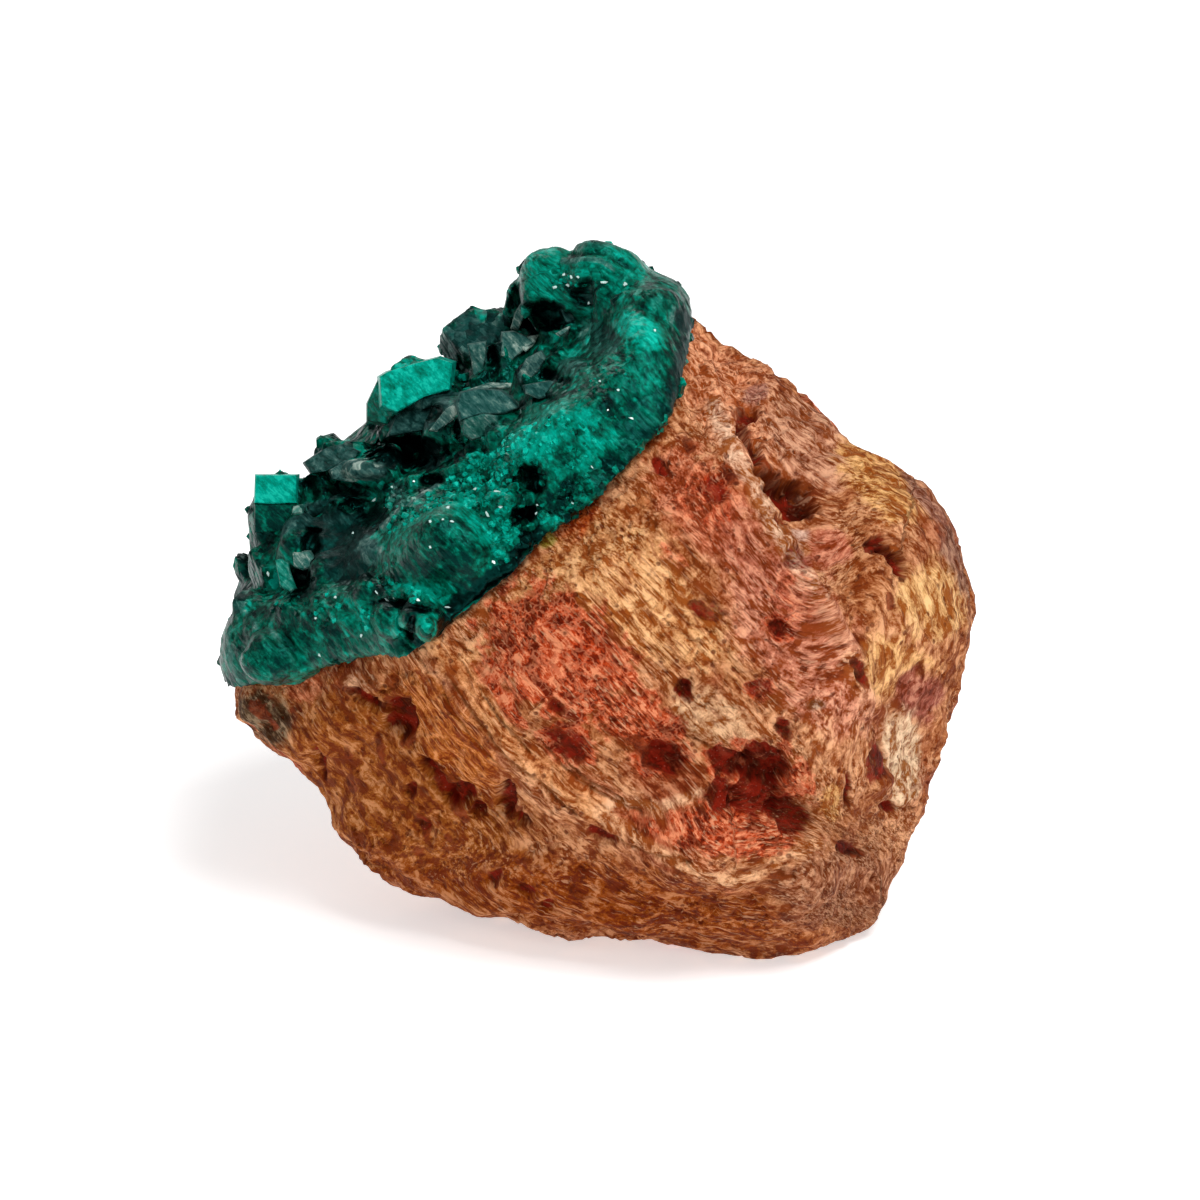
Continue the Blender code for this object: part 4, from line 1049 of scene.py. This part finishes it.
def sculptCrust(points, faces, stoneTree):
    normals = pointNormals(points, faces)
    soft = inMasses(points, normals)
    points = relaxed(points, faces, 0.25 + 0.75 * soft, 3)
    normals = pointNormals(points, faces)
    smooth = pointNormals(relaxed(points, faces, np.ones(len(points)), 8), faces)
    pixels = toPixels(points)
    seen = smoothStep(-0.2, 0.1, normals @ np.array(near))
    shown = np.array([stoneTree.find_nearest(Vector(p))[3] > crust["clearOfStone"] * mm for p in points])
    wobble = 0.34 * noiseAt(points, 1.1 * mm, shift=21) + 0.26 * noiseAt(points, 0.45 * mm, shift=22)
    flow = combed(points, crust["streakTurn"], crust["combs"])
    height = crust["fullness"] * soft
    for spot, rise in crust["domes"]:
        height += rise * np.maximum(0, 1 - spotPlace(pixels, spot) ** 2) ** 2 * seen
    for path, width, rise, _, _ in crust["lines"]:
        height += rise * onPath(pixels, path, width, wobble) * seen
    down = np.zeros(len(points))
    for spot, depth in crust["cavities"]:
        down = np.maximum(down, depth * seen * (1 - smoothStep(0.55, 1.15, spotPlace(pixels, spot) + wobble)))
    room = depthOver(stoneTree, points, down > 0.01) - crust["cavityFloor"]
    down = np.minimum(down, np.maximum(room, 0))
    streaks = noiseAt(flow / np.array([2.6, 0.42, 0.6]), 1.0, 2, shift=31)
    knots = noiseAt(points, 0.8 * mm, 2, shift=32)
    streaky = soft * crust["streakHeight"] * (streaks + 0.6 * knots)
    height += streaky + (1 - soft) * crust["growthHeight"] * knots
    points = points + smooth * (height * shown * mm)[:, None] - np.array(near) * (down * shown * mm)[:, None]
    return points, pixels, seen, shown, wobble, soft


def crustTonesAndShade(points, pixels, seen, wobble):
    light, grey = [np.full(len(points), start) for start in crust["plainLook"]]
    # the listed spots' light and grey, with painted shade in the cavities
    for spot, spotLight, spotGrey in crust["tones"]:
        share = inSpot(pixels, spot, wobble)
        light += share * (spotLight - light)
        grey += share * (spotGrey - grey)
    for path, width, _, lineLight, lineGrey in crust["lines"]:
        share = onPath(pixels, path, width, wobble) * 0.9
        light += share * (lineLight - light)
        grey += share * (lineGrey - grey)
    hiddenLight = np.clip(0.42 + 0.5 * noiseAt(points, 5 * mm, 2, shift=23), 0.05, 0.9)
    hiddenGrey = smoothStep(0.15, 0.5, noiseAt(points, 5 * mm, 2, shift=24))
    return seen * light + (1 - seen) * hiddenLight, seen * grey + (1 - seen) * hiddenGrey


def smallCrystals(picker, points, normals, shown, pixels, light, grey):
    seeds = seedCrystals(picker)
    facing = normals @ np.array(near)
    chosen = []
    for spot, count, sizes in crust["sprinkles"]:
        inside = np.flatnonzero((spotPlace(pixels, spot) < 1) & shown & (facing > 0.1))
        chosen += [(picker.choice(inside), picker.uniform(*sizes)) for _ in range(count) if len(inside)]
    behind = crust["behind"]
    hidden = np.flatnonzero(shown & (facing < -0.55))
    chosen += [(picker.choice(hidden), picker.uniform(*behind["sizes"])) for _ in range(behind["count"])]
    made = []
    for index, radius in chosen:
        seed, faces = picker.choice(seeds)
        lean = Vector([picker.uniform(-0.7, 0.7) for _ in range(3)])
        axis = (Vector(normals[index]) + lean).normalized()
        turn = axis.to_track_quat("Z", "Y").to_matrix() @ Matrix.Rotation(picker.uniform(0, 6.28), 3, "Z")
        place = points[index] - np.array(axis) * radius * crust["sunk"] * mm
        crystal = seed * radius * mm @ np.array(turn).T + place
        crystalLight = min(light[index] + picker.uniform(-0.14, 0.30), 0.95)
        made.append((crystal, faces, crystalLight, grey[index] * 0.8))
    return made


def plateShape(rim, out, depth, edge):
    # a plate with chamfered rim, deeper than it shows
    centre = sum(rim, Vector()) / len(rim)
    inner = [p + (centre - p).normalized() * edge for p in rim]
    rings = [inner, [p - out * edge for p in rim], [p + (p - centre) * 0.1 - near * depth for p in rim]]
    shape = bmesh.new()
    levels = [[shape.verts.new(p) for p in ring] for ring in rings]
    for upper, lower in zip(levels, levels[1:]):
        for i in range(len(rim)):
            shape.faces.new((upper[i - 1], upper[i], lower[i], lower[i - 1]))
    shape.faces.new(levels[0])
    shape.faces.new(levels[-1][::-1])
    bmesh.ops.recalc_face_normals(shape, faces=shape.faces[:])
    bmesh.ops.triangulate(shape, faces=shape.faces[:])
    made = asArrays(shape)
    shape.free()
    return made


def onPlane(ray, place, out):
    # where a ray from the camera meets the plane through a place
    start, aim = ray
    return start + aim * ((place - start).dot(out) / aim.dot(out))


def placedPlates(crustTree):
    made = []
    for outline, looks, lift, depth, light, grey in crust["plates"]:
        out = (right * looks[0] + up * looks[1] + near * looks[2]).normalized()
        rays = [pixelRay(*corner) for corner in outline]
        hits = [crustTree.ray_cast(*ray)[0] for ray in rays + [pixelRay(*np.mean(outline, axis=0))]]
        hits = sorted((hit for hit in hits if hit), key=lambda hit: hit.dot(near))
        if not hits:
            continue
        middle = hits[len(hits) // 2] + near * lift * mm
        rim = [onPlane(ray, middle, out) for ray in rays]
        points, faces = plateShape(rim, out, depth * mm, crust["plateEdge"] * mm)
        made.append((points, faces, light, grey))
    return made


def placedGlints(picker, crustTree):
    made = []
    size = crust["glintSize"]
    for x, y, long, wide, turn in crust["glints"]:
        hit, normal, _, _ = crustTree.ray_cast(*pixelRay(x, y))
        if not hit:
            continue
        out = (normal + near + up * 0.6).normalized()
        middle = hit + near * size["lift"] * mm
        turn = math.radians(turn)
        rim = []
        for step in range(5):
            angle = math.radians(72 * step + picker.uniform(-20, 20))
            reach = picker.uniform(0.45, 1.0)
            dx, dy = reach * long * math.cos(angle), reach * wide * math.sin(angle)
            cornerX = x + dx * math.cos(turn) - dy * math.sin(turn)
            cornerY = y + dx * math.sin(turn) + dy * math.cos(turn)
            rim.append(onPlane(pixelRay(cornerX, cornerY), middle, out))
        points, faces = plateShape(rim, out, size["depth"] * mm, size["edge"] * mm)
        made.append((points, faces, *crust["glintLook"]))
    return made


def crustMaterial():
    material, shader = newMaterial("dioptase")
    light, grey, tone, soft = attribute("light"), attribute("grey"), attribute("tone"), attribute("soft")
    flow = attribute("flow", 1)
    veil = cloud(flow, 0.9, 4, 0.6, 0.8)
    fine = cloud(stretched(flow, (0.6, 1.0, 0.8)), 4.2, 4, 0.7, 0.4)
    streaks = cloud(stretched(flow, (0.22, 1.0, 0.7)), 2.8, 4, 0.62, 0.4)
    specks = between(cloud(flow, 6.0, 2, 0.6), 0.66, 0.74)
    # faces of small crystals: each cell has a light of its own, and a pointed, flat-sided height
    facePlace = stretched(flow, (0.7, 1.0, 1.0))
    faceLight = cells(facePlace, 1.3, "F1", 1, "MANHATTAN") - 0.5
    facePoint = cells(facePlace, 1.3, "F1", 0, "MANHATTAN")
    crisp = 1 - soft * 0.55
    glint = between(light, 1.1, 1.2)
    light = light + tone * 0.16 * (1 - soft) + (veil - 0.5)
    light = light + (fine - 0.5) * 0.55 + faceLight * crisp * 0.55
    light = (light + (streaks - 0.5) * soft * 0.8) * 1.15 + specks * 0.22 - 0.09
    # how far the colour turns to the grey ramp, and the roughness with it
    greyShare = between(grey + (streaks - 0.5) * 0.4 * soft + (veil - 0.5) * 0.5, 0.42, 0.95)
    colour = blend(greyShare, colourRamp(light, crust["greens"]), colourRamp(light, crust["greys"]))
    # the glints are a painted highlight: near white
    colour = blend(glint, colour, flat(214, 244, 238))
    height = fine * 0.25 + streaks * soft * 0.6 - facePoint * crisp * 1.3
    connect(shader, {
        "Base Color": colour,
        "Roughness": 0.28 + greyShare * 0.30,
        "IOR": 1.65,
        "Specular IOR Level": 0.2,
        "Specular Tint": flat(50, 214, 196),
        "Transmission Weight": 0.2,
        "Coat Weight": glint,
        "Coat Roughness": 0.08,
        "Normal": bumped(height, crust["bump"] * mm, 0.9),
    })
    return material


def makeCrust():
    picker = random.Random(crust["randomSeed"])
    stoneShape = weldedCopy("matrix")
    stoneTree = BVHTree.FromBMesh(stoneShape)
    stoneShape.free()
    points, faces, tone = crustBody(picker)
    bodyFaces = len(faces)
    print("crust body triangles", bodyFaces)
    points, pixels, seen, shown, wobble, soft = sculptCrust(points, faces, stoneTree)
    light, grey = crustTonesAndShade(points, pixels, seen, wobble)
    normals = pointNormals(points, faces)
    crustTree = BVHTree.FromPolygons([Vector(p) for p in points], faces.tolist())
    parts = [(points, faces, light, grey, tone, soft)]
    small = smallCrystals(picker, points, normals, shown, pixels, light, grey)
    groups = [(small, 0), (placedPlates(crustTree), crust["plateSoft"]), (placedGlints(picker, crustTree), 0)]
    for extras, extraSoft in groups:
        for extraPoints, extraFaces, extraLight, extraGrey in extras:
            count, total = len(extraPoints), len(extraFaces)
            parts.append((extraPoints, extraFaces, np.full(count, extraLight), np.full(count, extraGrey),
                          np.full(total, picker.uniform(-0.4, 0.4)), np.full(count, extraSoft)))
    starts = np.cumsum([0] + [len(part[0]) for part in parts])
    mesh = bpy.data.meshes.new("dioptase crust")
    allPoints = np.concatenate([part[0] for part in parts])
    mesh.from_pydata(allPoints, [], np.concatenate([part[1] + start for part, start in zip(parts, starts)]))
    domains = {"light": "POINT", "grey": "POINT", "tone": "FACE", "soft": "POINT"}
    for index, (name, domain) in enumerate(domains.items(), 2):
        setNumbers(mesh, name, np.concatenate([part[index] for part in parts]), domain)
    setVectors(mesh, "flow", combed(allPoints, crust["streakTurn"], crust["combs"]))
    mesh.materials.append(crustMaterial())
    # the body is smooth, and the crystals set on it have flat faces
    mesh.polygons.foreach_set("use_smooth", np.arange(len(mesh.polygons)) < bodyFaces)
    addPiece("dioptase_crystals", mesh, "dioptase_crust")
    print("crust triangles", len(mesh.polygons))


makeCrust()
print("crust")


def makeFloor():
    size = studio["floorSize"]
    shape = bmesh.new()
    bmesh.ops.create_grid(shape, x_segments=1, y_segments=1, size=size / 2)
    mesh = bpy.data.meshes.new("floor")
    shape.to_mesh(mesh)
    shape.free()
    floor = addObject("floor", mesh)
    material, shader = newMaterial("floor")
    connect(shader, {
        "Base Color": (*studio["floorColour"], 1),
        "Roughness": 0.9,
        "Specular IOR Level": 0.1,
        "Emission Color": (1, 1, 1, 1),
        "Emission Strength": studio["floorGlow"],
    })
    mesh.materials.append(material)


makeFloor()

bpy.context.scene.view_settings.view_transform = "Standard"
